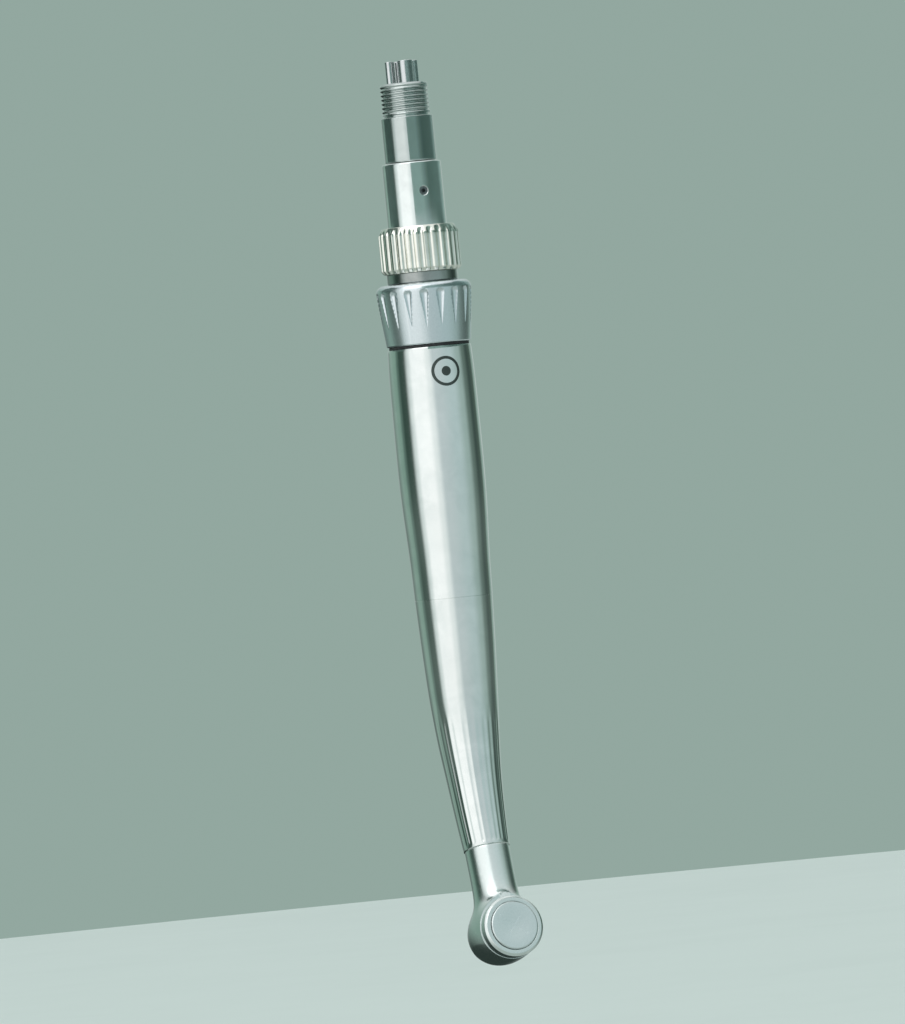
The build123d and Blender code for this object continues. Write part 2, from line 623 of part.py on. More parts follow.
def cap_seal_mid_r():
    return (CHAMBER_R + DRUM_RIM_R) / 2


def head_cap():
    """The screwed cap: its rim, the web under the button and the rear bearing's skirt."""
    recess_r = BUTTON_R + BUTTON_STEP + RUN_GAP
    body = turned([
        (BUTTON_R + RUN_GAP, CAP_RISE), (CAP_R - CAP_EDGE, CAP_RISE), (CAP_R, CAP_RISE - CAP_EDGE),
        (CAP_R, RIM + SEAT_GAP), (CAP_SKIRT_R, RIM + SEAT_GAP), (CAP_SKIRT_R, REAR_RACE_FOOT),
        (RACE_R + SEAT_GAP, REAR_RACE_FOOT), (RACE_R + SEAT_GAP, WEB_FOOT),
        (BUTTON_BOSS_R + BOSS_HOLE_GAP, WEB_FOOT), (BUTTON_BOSS_R + BOSS_HOLE_GAP, WEB_TOP),
        (recess_r, WEB_TOP), (recess_r, CAP_LIP), (BUTTON_R + RUN_GAP, CAP_LIP),
    ])
    return body - race_seat(REAR_RACE_FOOT, WEB_FOOT, rear_seal_level())


def push_button():
    return turned([
        (0, BUTTON_TOP - BUTTON_DISH), (BUTTON_DISH_R, BUTTON_TOP - BUTTON_DISH / 2),
        (BUTTON_R - BUTTON_EDGE, BUTTON_TOP), (BUTTON_R, BUTTON_TOP - BUTTON_EDGE),
        (BUTTON_R, BUTTON_FLANGE_TOP), (BUTTON_R + BUTTON_STEP, BUTTON_FLANGE_TOP),
        (BUTTON_R + BUTTON_STEP, BUTTON_FLANGE_FOOT), (BUTTON_BOSS_R, BUTTON_FLANGE_FOOT),
        (BUTTON_BOSS_R, BOSS_FOOT), (0, BOSS_FOOT),
    ])


def spring_disc(inner_r, outer_r, foot, top, thickness):
    """A dished spring washer, high at its inner edge."""
    return turned([
        (outer_r, foot), (outer_r, foot + thickness), (inner_r, top), (inner_r, top - thickness),
    ])


def button_spring():
    outer_r = BUTTON_R + BUTTON_STEP - RUN_GAP
    return spring_disc(
        BUTTON_BOSS_R + BOSS_HOLE_GAP, outer_r, WEB_TOP, BUTTON_FLANGE_FOOT - SEAT_GAP, SPRING_DISC_T
    )


def preload_washer():
    top = FRONT_RACE_FOOT - SEAT_GAP
    return spring_disc(RACE_OUT_R, RACE_R - SEAT_GAP, BEARING_FLOOR, top, WASHER_T)


def spray_ring():
    ring = tube(-NOSE_DROP + SPRAY_RING_T - SEAT_GAP, -NOSE_DROP, SPRAY_RING_OUT, SPRAY_RING_IN)
    jet_r = (SPRAY_RING_IN + SPRAY_RING_OUT) / 2
    jet = rod(-NOSE_DROP + SPRAY_RING_T, -NOSE_DROP - OVERCUT, SPRAY_HOLE_R, jet_r)
    return ring - around(SPRAY_HOLES, jet, 90)


# ---------------------------------------------------------------- turbine
def spindle():
    return tube(SPINDLE_TOP, SPINDLE_NOSE, SPINDLE_R, SPINDLE_BORE_R)


def collet():
    body = tube(COLLET_TOP, SPINDLE_NOSE, SPINDLE_BORE_R - SEAT_GAP, BUR_SHANK_R)
    slot_l = COLLET_L - COLLET_RING_L
    slot = Box(2 * SPINDLE_BORE_R, COLLET_SLOT_W, slot_l, align=(Align.MIN, Align.CENTER, Align.MIN))
    return body - around(COLLET_SLOTS, Pos(0, 0, SPINDLE_NOSE + COLLET_RING_L) * slot, 90)


def chuck_plunger():
    z_neck = PLUNGER_FOOT + PLUNGER_HEAD_L
    body = rod(z_neck, PLUNGER_FOOT, SPINDLE_BORE_R - RUN_GAP)
    return body + rod(PLUNGER_TOP, z_neck, PLUNGER_NECK_R)


def impeller():
    body = tube(IMPELLER_TOP, IMPELLER_FOOT, IMPELLER_R, SPINDLE_R)
    bucket = rod(IMPELLER_TOP, IMPELLER_FOOT, BUCKET_R, IMPELLER_R)
    return body - around(BUCKETS, bucket)


def ball_track(middle):
    return Pos(0, 0, middle) * Torus(BALL_PITCH_R, BALL_R + BALL_GAP)


def inner_race(middle):
    half = RACE_W / 2
    return tube(middle + half, middle - half, RACE_IN_R, SPINDLE_R) - ball_track(middle)


def outer_race(middle):
    half = RACE_W / 2
    return tube(middle + half, middle - half, RACE_R, RACE_OUT_R) - ball_track(middle)


def ball(middle, index):
    turn = 2 * math.pi * index / BALLS
    return Pos(BALL_PITCH_R * math.cos(turn), BALL_PITCH_R * math.sin(turn), middle) * Sphere(BALL_R)


def ball_cage(middle):
    half = CAGE_W / 2
    inner = BALL_PITCH_R - CAGE_WALL / 2
    body = tube(middle + half, middle - half, BALL_PITCH_R + CAGE_WALL / 2, inner)
    pocket = Rot(0, 90, 0) * Cylinder(BALL_R + BALL_GAP, 2 * BALL_PITCH_R, align=UP)
    return body - around(BALLS, Pos(0, 0, middle) * pocket)


def race_rubber(level):
    return rubber_ring(level, RACE_R + RACE_SEAL_R + RUBBER_GAP / 2, RACE_SEAL_R)


# ---------------------------------------------------------------- all the pieces
def all_pieces():
    pieces = {
        "coupler_tail": coupler_tail(),
        "swivel_retainer": swivel_retainer(),
        "coupler_collar": coupler_collar(),
        "collar_set_screw": collar_set_screw(),
        "coupler_spigot": coupler_spigot(),
        "lock_ring": lock_ring(),
        "release_ring": release_ring(),
        "release_ring_cap": release_ring_cap(),
        "release_spring": release_spring(),
        "socket_liner": socket_liner(),
        "grip_ring": grip_ring(),
        "seal_ring": seal_ring(),
        "rear_shell": rear_shell(),
        "tube_manifold": tube_manifold(),
        "front_shell": front_shell(),
        "head_housing": head_housing(),
    }
    for name, (x, y, radius) in PIPES.items():
        pieces[name] = pipe(x, y, radius)
    for k, level in enumerate(swivel_seal_levels()):
        pieces[f"swivel_o_ring_{k + 1}"] = rubber_ring(level, swivel_seal_mid_r(), SWIVEL_SEAL_R)
    for k, level in enumerate(spigot_seal_levels()):
        pieces[f"spigot_o_ring_{k + 1}"] = rubber_ring(level, spigot_seal_mid_r(), SPIGOT_SEAL_R)
    for name, x, radius in feed_tubes():
        pieces[name] = feed_tube(x, radius)
    head_pieces = {
        "head_cap": head_cap(),
        "cap_o_ring": rubber_ring(RIM - CAP_SEAL_R, cap_seal_mid_r(), CAP_SEAL_R - SEAT_GAP),
        "push_button": push_button(),
        "button_spring": button_spring(),
        "preload_washer": preload_washer(),
        "spray_ring": spray_ring(),
        "spindle": spindle(),
        "collet": collet(),
        "chuck_plunger": chuck_plunger(),
        "impeller": impeller(),
    }
    for end, middle in (("front", front_seal_level()), ("rear", rear_seal_level())):
        head_pieces[f"{end}_inner_race"] = inner_race(middle)
        head_pieces[f"{end}_outer_race"] = outer_race(middle)
        head_pieces[f"{end}_race_o_ring"] = race_rubber(middle)
        head_pieces[f"{end}_ball_cage"] = ball_cage(middle)
        for k in range(BALLS):
            head_pieces[f"{end}_ball_{k + 1}"] = ball(middle, k)
    for name, piece in head_pieces.items():
        pieces[name] = in_head(piece)
    return pieces


os.makedirs("parts", exist_ok=True)
for node, solid in all_pieces().items():
    solid.label = node
    export_step(solid, f"parts/{node}.step")
print("head centre, mm:", [round(v, 4) for v in HEAD_PLANE.origin])
print("cap normal:", [round(v, 6) for v in HEAD_PLANE.z_dir])
print("bur mouth, mm:", [round(v, 4) for v in (HEAD_PLANE.origin + HEAD_PLANE.z_dir * SPINDLE_NOSE)])
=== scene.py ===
import json
import math
import bpy
import numpy as np
from mathutils import Matrix, Vector


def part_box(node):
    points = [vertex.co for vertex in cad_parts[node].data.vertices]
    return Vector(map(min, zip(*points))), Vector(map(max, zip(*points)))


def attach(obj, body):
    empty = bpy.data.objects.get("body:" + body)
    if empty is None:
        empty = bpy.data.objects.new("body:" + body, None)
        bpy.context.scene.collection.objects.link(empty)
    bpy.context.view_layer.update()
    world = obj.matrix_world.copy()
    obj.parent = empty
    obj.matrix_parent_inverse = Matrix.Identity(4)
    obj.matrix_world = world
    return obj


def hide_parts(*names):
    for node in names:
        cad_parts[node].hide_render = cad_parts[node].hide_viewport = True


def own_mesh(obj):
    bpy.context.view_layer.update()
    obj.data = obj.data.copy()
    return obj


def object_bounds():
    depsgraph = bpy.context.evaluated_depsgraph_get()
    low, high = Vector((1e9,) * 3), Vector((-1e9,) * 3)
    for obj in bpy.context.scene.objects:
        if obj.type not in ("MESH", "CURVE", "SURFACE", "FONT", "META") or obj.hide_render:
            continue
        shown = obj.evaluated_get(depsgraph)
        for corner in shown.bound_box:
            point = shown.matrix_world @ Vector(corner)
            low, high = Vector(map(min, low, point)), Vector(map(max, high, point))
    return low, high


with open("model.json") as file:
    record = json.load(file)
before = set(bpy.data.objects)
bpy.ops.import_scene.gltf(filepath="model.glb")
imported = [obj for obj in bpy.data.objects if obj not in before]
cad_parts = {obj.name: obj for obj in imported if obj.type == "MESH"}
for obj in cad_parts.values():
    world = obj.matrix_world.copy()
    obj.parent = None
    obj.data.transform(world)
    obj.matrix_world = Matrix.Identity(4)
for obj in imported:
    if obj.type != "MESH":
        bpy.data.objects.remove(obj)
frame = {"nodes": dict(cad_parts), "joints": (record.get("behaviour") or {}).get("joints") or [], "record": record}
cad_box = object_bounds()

# Metres throughout; MM turns the small sizes below into metres. The coupler's axis
# is Z, the head hangs at the low end and its cap faces -Y.
MM = 0.001
NODES = frame["nodes"]
JOINTS = {joint["name"]: joint for joint in frame["joints"]}


# ------------------------------------------------------------------ places
def level(node, end):
    """The low (0) or high (1) end of an upright CAD node, as a height."""
    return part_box(node)[end][2]


def half_width(node):
    """The radius of an upright round CAD node, from its box."""
    low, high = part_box(node)
    return 0.5 * (high[0] - low[0])


def middle_level(node):
    """The height half way up an upright CAD node."""
    return 0.5 * (level(node, 0) + level(node, 1))


UPRIGHT = (np.eye(3), np.zeros(3))
CAP_NORMAL = np.array(JOINTS["rotor_spin"]["axis"], float)
CAP_NORMAL /= np.linalg.norm(CAP_NORMAL)
HEAD_MIDDLE = np.array(JOINTS["rotor_spin"]["pos_m"], float)
ACROSS = np.array((1.0, 0.0, 0.0))
HEAD = (np.stack([ACROSS, np.cross(CAP_NORMAL, ACROSS), CAP_NORMAL], axis=1), HEAD_MIDDLE)


def off_axis(node):
    """An upright frame on the axis of a pipe that stands beside the coupler's own."""
    low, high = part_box(node)
    return (np.eye(3), np.array([0.5 * (low[0] + high[0]), 0.5 * (low[1] + high[1]), 0.0]))


# ------------------------------------------------------------------ outlines
def outline(corners, steps=5, closed=True):
    """Rounds the corners of a turned piece's outline.

    corners are (radius, height, fillet), with the fillet in millimetres, an arc tangent to its two
    sides, with one more point a little way along each side to keep the flats flat.
    An open outline keeps its two end points as they are.
    """
    points = []
    count = len(corners)
    for k, (radius, height, fillet) in enumerate(corners):
        fillet = fillet * MM
        here = np.array([radius, height])
        inner = closed or 0 < k < count - 1
        if fillet <= 0 or not inner:
            points.append(here)
            continue
        back = np.array(corners[k - 1][:2]) - here
        ahead = np.array(corners[(k + 1) % count][:2]) - here
        reach = min(np.linalg.norm(back), np.linalg.norm(ahead))
        back, ahead = back / np.linalg.norm(back), ahead / np.linalg.norm(ahead)
        half = 0.5 * math.acos(float(np.clip(back @ ahead, -1, 1)))
        run = min(fillet / math.tan(half), 0.45 * reach)
        fillet = run * math.tan(half)
        middle = here + (back + ahead) / np.linalg.norm(back + ahead) * (fillet / math.sin(half))
        start, end = here + back * run, here + ahead * run
        sweep = np.linspace(0.0, 1.0, steps + 1)[:, None]
        arc = (start - middle) * (1 - sweep) + (end - middle) * sweep
        arc = middle + arc / np.linalg.norm(arc, axis=1)[:, None] * fillet
        guard = min(0.3 * run, 0.1 * reach)
        points.extend([start + back * guard, *arc, end + ahead * guard])
    return np.array(points)


def between(points, spacing):
    """Splits an outline's long sides so that no step is longer than the spacing."""
    pieces = []
    for start, end in zip(points[:-1], points[1:]):
        parts = max(1, int(np.ceil(np.linalg.norm(end - start) / spacing)))
        pieces.append(start + (end - start) * np.linspace(0, 1, parts, endpoint=False)[:, None])
    return np.vstack(pieces + [points[-1:]])


# ------------------------------------------------------------------ meshes
CREASE = math.radians(38)


def grid_quads(rows, columns, wrap_rows, wrap_columns):
    """Corner indices of the quads of a grid of points, joined end to end where it wraps."""
    r = np.arange(rows if wrap_rows else rows - 1)[:, None]
    c = np.arange(columns if wrap_columns else columns - 1)[None, :]
    r2, c2 = (r + 1) % rows, (c + 1) % columns
    quads = [r * columns + c, r * columns + c2, r2 * columns + c2, r2 * columns + c]
    return np.stack(quads, axis=-1).reshape(-1, 4)


def signed_volume(points, faces):
    """Six times the volume inside a closed mesh, positive where its faces point out."""
    total = 0.0
    for face in (faces[:, (0, 1, 2)], faces[:, (0, 2, 3)]) if faces.shape[1] == 4 else (faces,):
        a, b, c = points[face[:, 0]], points[face[:, 1]], points[face[:, 2]]
        total += float(np.einsum("ij,ij->i", a, np.cross(b, c)).sum())
    return total


def new_mesh(points, face_sets):
    """A smooth-shaded mesh from arrays of points and faces, turned so that it faces out."""
    if sum(signed_volume(points - points.mean(axis=0), faces) for faces in face_sets) < 0:
        face_sets = [faces[:, ::-1] for faces in face_sets]
    mesh = bpy.data.meshes.new("surface")
    mesh.from_pydata(points.tolist(), [], sum((faces.tolist() for faces in face_sets), []))
    mesh.validate()
    mesh.shade_smooth()
    mesh.set_sharp_from_angle(angle=CREASE)
    return mesh


def turned_points(points, columns, relief=None):
    """Turns an outline about its axis: each outline point becomes a ring of columns points.

    relief(angle, radius, height) gives how far in each point of the grid is cut.
    """
    angle = np.linspace(0.0, 2 * np.pi, columns, endpoint=False)[None, :]
    radius = np.repeat(points[:, :1], columns, axis=1)
    height = np.repeat(points[:, 1:], columns, axis=1)
    if relief is not None:
        radius = radius - relief(angle, radius, height)
    return np.stack([radius * np.cos(angle), radius * np.sin(angle), height], axis=-1)


def turned_mesh(points, columns=160, place=UPRIGHT, relief=None):
    """A closed turned mesh. Outline ends that lie on the axis become single pole points."""
    basis, origin = place
    on_axis = points[0, 0] < 1e-9 and points[-1, 0] < 1e-9
    body = points[1:-1] if on_axis else points
    rings = turned_points(body, columns, relief).reshape(-1, 3)
    rows = len(body)
    faces = [grid_quads(rows, columns, not on_axis, True)]
    if on_axis:
        poles = np.array([[0, 0, points[0, 1]], [0, 0, points[-1, 1]]])
        rings = np.vstack([rings, poles])
        here = np.arange(columns)
        there = (here + 1) % columns
        first, last = rows * columns, rows * columns + 1
        foot = (rows - 1) * columns
        faces.append(np.stack([np.full(columns, first), there, here], axis=1))
        faces.append(np.stack([np.full(columns, last), foot + here, foot + there], axis=1))
    return new_mesh(rings @ basis.T + origin, faces)


def wire_mesh(middle_radius, wire, start, sweep, heights, columns=20):
    """Round wire bent along an arc or a coil, with rounded ends.

    Its middle line is (R cos a, R sin a, z): a runs through the sweep from its start,
    and z goes evenly from the first height to the second.
    """
    rows = int(20 * sweep)
    tip = np.linspace(0, 0.5 * np.pi, 6)
    cap = wire / middle_radius
    middle = np.linspace(0, sweep, rows)
    along = np.concatenate([-cap * np.cos(tip[:-1]), middle, sweep + cap * np.sin(tip[1:])])
    shrink = np.concatenate([np.sin(tip[:-1]), np.ones(rows), np.cos(tip[1:])])[:, None]
    turn = np.linspace(0, 2 * np.pi, columns, endpoint=False)[None, :]
    angle = (start + along)[:, None]
    radius = middle_radius + wire * shrink * np.cos(turn)
    height = np.interp(along, (0, sweep), heights)[:, None] + wire * shrink * np.sin(turn)
    grid = np.stack([radius * np.cos(angle), radius * np.sin(angle), height], axis=-1)
    return new_mesh(grid.reshape(-1, 3), [grid_quads(len(along), columns, False, True)])


def ring_mesh(middle_radius, section, height):
    """A torus: a round section of that radius, carried round the axis at the middle radius."""
    turn = np.linspace(0, 2 * np.pi, 28, endpoint=False)
    points = np.stack([middle_radius + section * np.cos(turn),
                       height + section * np.sin(turn)], axis=1)
    return turned_mesh(points, 120)


def add_piece(name, mesh, body, slot, node):
    """Puts a finished mesh in the scene on its CAD body, in its slot's finish, in place of a CAD node."""
    mesh.name = name
    mesh.materials.clear()
    mesh.materials.append(MATERIALS[slot])
    piece = bpy.data.objects.new(name, mesh)
    bpy.context.scene.collection.objects.link(piece)
    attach(piece, body)
    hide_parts(node)
    return piece


def cut_away(mesh, cutters):
    """The mesh with each cutter's solid taken out of it, by an exact boolean."""
    block = bpy.data.objects.new("block", mesh)
    bpy.context.scene.collection.objects.link(block)
    tools = []
    for k, cutter in enumerate(cutters):
        tool = bpy.data.objects.new(f"cutter_{k}", cutter)
        bpy.context.scene.collection.objects.link(tool)
        tools.append(tool)
        modifier = block.modifiers.new(f"cut_{k}", "BOOLEAN")
        modifier.operation = "DIFFERENCE"
        modifier.solver = "EXACT"
        modifier.object = tool
    bpy.context.view_layer.update()
    graph = bpy.context.evaluated_depsgraph_get()
    result = bpy.data.meshes.new_from_object(block.evaluated_get(graph))
    for item in [block, *tools]:
        old = item.data
        bpy.data.objects.remove(item)
        bpy.data.meshes.remove(old)
    result.shade_smooth()
    result.set_sharp_from_angle(angle=CREASE)
    return result


def plug_mesh(radius, low, high, place, columns=48):
    """A plain round bar, only ever used as a drill for cut_away."""
    corners = [(0, low, 0), (radius, low, 0), (radius, high, 0), (0, high, 0)]
    return turned_mesh(outline(corners, closed=False), columns, place)


# ------------------------------------------------------------------ shader groups
def new_group(name, inputs, outputs):
    """An empty shader node group with named sockets, as (group, input node, output node)."""
    group = bpy.data.node_groups.new(name, "ShaderNodeTree")
    for label, kind, value in inputs:
        socket = group.interface.new_socket(name=label, in_out="INPUT", socket_type=kind)
        if value is not None:
            socket.default_value = value
    for label, kind in outputs:
        group.interface.new_socket(name=label, in_out="OUTPUT", socket_type=kind)
    return group, group.nodes.new("NodeGroupInput"), group.nodes.new("NodeGroupOutput")


def math_node(tree, operation, first, second=None, third=None, clamp=False):
    """A Math node fed by sockets or plain numbers; gives its output socket."""
    node = tree.nodes.new("ShaderNodeMath")
    node.operation = operation
    node.use_clamp = clamp
    for socket, value in zip(node.inputs, (first, second, third)):
        if value is None:
            continue
        if isinstance(value, (int, float)):
            socket.default_value = value
        else:
            tree.links.new(value, socket)
    return node.outputs[0]


def dot_node(tree, first, second):
    """The dot product of a vector socket with a second socket or a plain vector."""
    node = tree.nodes.new("ShaderNodeVectorMath")
    node.operation = "DOT_PRODUCT"
    tree.links.new(first, node.inputs[0])
    if isinstance(second, bpy.types.NodeSocket):
        tree.links.new(second, node.inputs[1])
    else:
        node.inputs[1].default_value = second
    return node.outputs["Value"]


def object_place(tree):
    """Where a point lies, in the object's own metres."""
    return tree.nodes.new("ShaderNodeTexCoord").outputs["Object"]


def noise_node(tree, place, **values):
    """A noise texture read at a place, with values for its inputs."""
    node = tree.nodes.new("ShaderNodeTexNoise")
    tree.links.new(place, node.inputs["Vector"])
    for label, value in values.items():
        node.inputs[label].default_value = value
    return node


def smudge_group():
    """Soft blotches of handling and rinsing, two sizes of noise multiplied, as a 0 to 1 mask."""
    group, given, out = new_group(
        "Handling smudges",
        [("Scale", "NodeSocketFloat", 120.0), ("Amount", "NodeSocketFloat", 0.5)],
        [("Mask", "NodeSocketFloat")],
    )
    place = object_place(group)
    broad = noise_node(group, place, Detail=3.0)
    fine = noise_node(group, place, Detail=5.0, Distortion=0.6)
    group.links.new(given.outputs["Scale"], broad.inputs["Scale"])
    group.links.new(math_node(group, "MULTIPLY", given.outputs["Scale"], 5.0), fine.inputs["Scale"])
    both = math_node(group, "MULTIPLY", broad.outputs["Fac"], fine.outputs["Fac"])
    lifted = math_node(group, "MULTIPLY_ADD", both, 4.0, -0.6, clamp=True)
    group.links.new(math_node(group, "MULTIPLY", lifted, given.outputs["Amount"]), out.inputs["Mask"])
    return group


def grain_group():
    """Blasted metal or moulded grain: fine noise, as a height and as a tone."""
    group, given, out = new_group(
        "Metal grain",
        [("Scale", "NodeSocketFloat", 4000.0)],
        [("Height", "NodeSocketFloat"), ("Tone", "NodeSocketFloat")],
    )
    noise = noise_node(group, object_place(group), Detail=4.0, Roughness=0.65)
    group.links.new(given.outputs["Scale"], noise.inputs["Scale"])
    group.links.new(noise.outputs["Fac"], out.inputs["Height"])
    tone = math_node(group, "MULTIPLY_ADD", noise.outputs["Fac"], 2.4, -0.7, clamp=True)
    group.links.new(tone, out.inputs["Tone"])
    return group


def turning_group():
    """Fine lines left by a lathe: rings that follow height along the axis, as a height."""
    group, given, out = new_group(
        "Turning lines",
        [("Axis", "NodeSocketVector", (0.0, 0.0, 1.0)), ("Pitch", "NodeSocketFloat", 0.0001)],
        [("Height", "NodeSocketFloat")],
    )
    along = dot_node(group, object_place(group), given.outputs["Axis"])
    noise = group.nodes.new("ShaderNodeTexNoise")
    noise.noise_dimensions = "1D"
    noise.inputs["Scale"].default_value = 1.0
    noise.inputs["Detail"].default_value = 3.0
    group.links.new(math_node(group, "DIVIDE", along, given.outputs["Pitch"]), noise.inputs["W"])
    group.links.new(noise.outputs["Fac"], out.inputs["Height"])
    return group


def edge_group():
    """Edges rubbed by handling: bright where the surface is convex, as a 0 to 1 mask."""
    group, given, out = new_group(
        "Rubbed edges",
        [("Amount", "NodeSocketFloat", 1.0)],
        [("Mask", "NodeSocketFloat")],
    )
    shape = group.nodes.new("ShaderNodeNewGeometry")
    convex = math_node(group, "MULTIPLY_ADD", shape.outputs["Pointiness"], 9.0, -4.65, clamp=True)
    group.links.new(math_node(group, "MULTIPLY", convex, given.outputs["Amount"]), out.inputs["Mask"])
    return group


SMUDGES = smudge_group()
GRAIN = grain_group()
TURNING = turning_group()
EDGES = edge_group()


# ------------------------------------------------------------------ materials
def start_material(name, metallic, roughness):
    """A material with one Principled BSDF, as (material, tree, shader)."""
    material = bpy.data.materials.new(name)
    material.use_nodes = True
    tree = material.node_tree
    shader = tree.nodes["Principled BSDF"]
    shader.inputs["Metallic"].default_value = metallic
    shader.inputs["Roughness"].default_value = roughness
    return material, tree, shader


def use(tree, group, **values):
    """A shader group placed in a material, with values for its inputs."""
    node = tree.nodes.new("ShaderNodeGroup")
    node.node_tree = group
    for label, value in values.items():
        node.inputs[label].default_value = value
    return node


def mix_colours(tree, mask, first, second):
    """A colour that goes from the first to the second as the mask goes from 0 to 1."""
    node = tree.nodes.new("ShaderNodeMix")
    node.data_type = "RGBA"
    tree.links.new(mask, node.inputs["Factor"])
    for label, colour in (("A", first), ("B", second)):
        if isinstance(colour, tuple):
            node.inputs[label].default_value = (*colour, 1.0)
        else:
            tree.links.new(colour, node.inputs[label])
    return node.outputs["Result"]


def mix_values(tree, mask, first, second):
    """A value that goes from the first to the second as the mask goes from 0 to 1."""
    return math_node(tree, "MULTIPLY_ADD", mask, second - first, first)


def bump(tree, shader, height, distance):
    """Feeds a height to the shader as a bump of that depth in metres."""
    node = tree.nodes.new("ShaderNodeBump")
    node.inputs["Distance"].default_value = distance
    tree.links.new(height, node.inputs["Height"])
    tree.links.new(node.outputs["Normal"], shader.inputs["Normal"])


LATHE_PITCH = 0.12 * MM
BLASTED_SCALE = 5200.0
BLASTED_DEPTH = 4e-6
WEAR_SMUDGE_SCALE = 140.0


def polished(name, colour, dull, roughness, smudge_scale=90.0, smudge=0.8, lines=0.0):
    """Bright plated metal: a clean mirror, dulled a little in soft smudges, with faint lathe lines."""
    material, tree, shader = start_material(name, 1.0, roughness)
    smudges = use(tree, SMUDGES, Scale=smudge_scale, Amount=smudge)
    toned = mix_colours(tree, smudges.outputs["Mask"], colour, dull)
    tree.links.new(toned, shader.inputs["Base Color"])
    rough = mix_values(tree, smudges.outputs["Mask"], roughness, roughness + 0.09)
    tree.links.new(rough, shader.inputs["Roughness"])
    if lines:
        turning = use(tree, TURNING, Pitch=LATHE_PITCH)
        bump(tree, shader, turning.outputs["Height"], lines)
    return material


def satin(name, colour, dark, bright, roughness, wear=0.6):
    """Blasted metal: fine grain in height and tone, polished where edges are rubbed."""
    material, tree, shader = start_material(name, 1.0, roughness)
    grain = use(tree, GRAIN, Scale=BLASTED_SCALE)
    edges = use(tree, EDGES, Amount=wear)
    smudges = use(tree, SMUDGES, Scale=WEAR_SMUDGE_SCALE, Amount=0.5)
    toned = mix_colours(tree, grain.outputs["Tone"], dark, colour)
    rubbed = mix_colours(tree, edges.outputs["Mask"], toned, bright)
    tree.links.new(rubbed, shader.inputs["Base Color"])
    rough = mix_values(tree, edges.outputs["Mask"], roughness, max(0.08, roughness - 0.16))
    rough = math_node(tree, "MULTIPLY_ADD", smudges.outputs["Mask"], 0.08, rough)
    tree.links.new(rough, shader.inputs["Roughness"])
    bump(tree, shader, grain.outputs["Height"], BLASTED_DEPTH)
    return material


def rubber(name, colour):
    """Matt black rubber with a faint moulded skin and a dusty bloom."""
    material, tree, shader = start_material(name, 0.0, 0.62)
    grain = use(tree, GRAIN, Scale=2600.0)
    smudges = use(tree, SMUDGES, Scale=400.0, Amount=0.7)
    bloom = tuple(2.2 * channel + 0.01 for channel in colour)
    toned = mix_colours(tree, smudges.outputs["Mask"], colour, bloom)
    tree.links.new(toned, shader.inputs["Base Color"])
    tree.links.new(mix_values(tree, grain.outputs["Tone"], 0.5, 0.72), shader.inputs["Roughness"])
    bump(tree, shader, grain.outputs["Height"], 6e-6)
    return material


def resin(name, colour, dark):
    """Machined bearing-cage resin with woven mottling."""
    material, tree, shader = start_material(name, 0.0, 0.45)
    grain = use(tree, GRAIN, Scale=3500.0)
    tree.links.new(mix_colours(tree, grain.outputs["Tone"], dark, colour), shader.inputs["Base Color"])
    bump(tree, shader, grain.outputs["Height"], 5e-6)
    return material


def sign_group():
    """The sign etched in the handle's front: a ring round a dot, as a 0 to 1 mask."""
    group, given, out = new_group(
        "Etched sign",
        [("Level", "NodeSocketFloat", 0.0), ("Radius", "NodeSocketFloat", 0.002)],
        [("Mask", "NodeSocketFloat")],
    )
    split = group.nodes.new("ShaderNodeSeparateXYZ")
    group.links.new(object_place(group), split.inputs[0])
    across = split.outputs["X"]
    up = math_node(group, "SUBTRACT", split.outputs["Z"], given.outputs["Level"])
    squares = math_node(group, "MULTIPLY_ADD", up, up, math_node(group, "MULTIPLY", across, across))
    share = math_node(group, "DIVIDE", math_node(group, "SQRT", squares), given.outputs["Radius"])
    off_ring = math_node(group, "ABSOLUTE", math_node(group, "SUBTRACT", share, 1.0))
    ring = math_node(group, "LESS_THAN", off_ring, 0.11)
    dot = math_node(group, "LESS_THAN", share, 0.36)
    front = math_node(group, "LESS_THAN", split.outputs["Y"], 0.0)
    both = math_node(group, "MAXIMUM", ring, dot)
    group.links.new(math_node(group, "MULTIPLY", both, front), out.inputs["Mask"])
    return group


SIGN = sign_group()


def etched_chrome(name, colour, dull, roughness):
    """Bright plated metal with soft smudges, and the etched sign as a dark dull patch."""
    material = polished(name, colour, dull, roughness, smudge_scale=60.0)
    tree = material.node_tree
    shader = tree.nodes["Principled BSDF"]
    sign = use(tree, SIGN, Level=level("rear_shell", 1) - 4.6 * MM, Radius=2.4 * MM)
    clean = shader.inputs["Base Color"].links[0].from_socket
    etched = mix_colours(tree, sign.outputs["Mask"], clean, (0.10, 0.115, 0.11))
    tree.links.new(etched, shader.inputs["Base Color"])
    smooth = shader.inputs["Roughness"].links[0].from_socket
    rough = math_node(tree, "MULTIPLY_ADD", sign.outputs["Mask"], 0.4, smooth)
    tree.links.new(rough, shader.inputs["Roughness"])
    return material


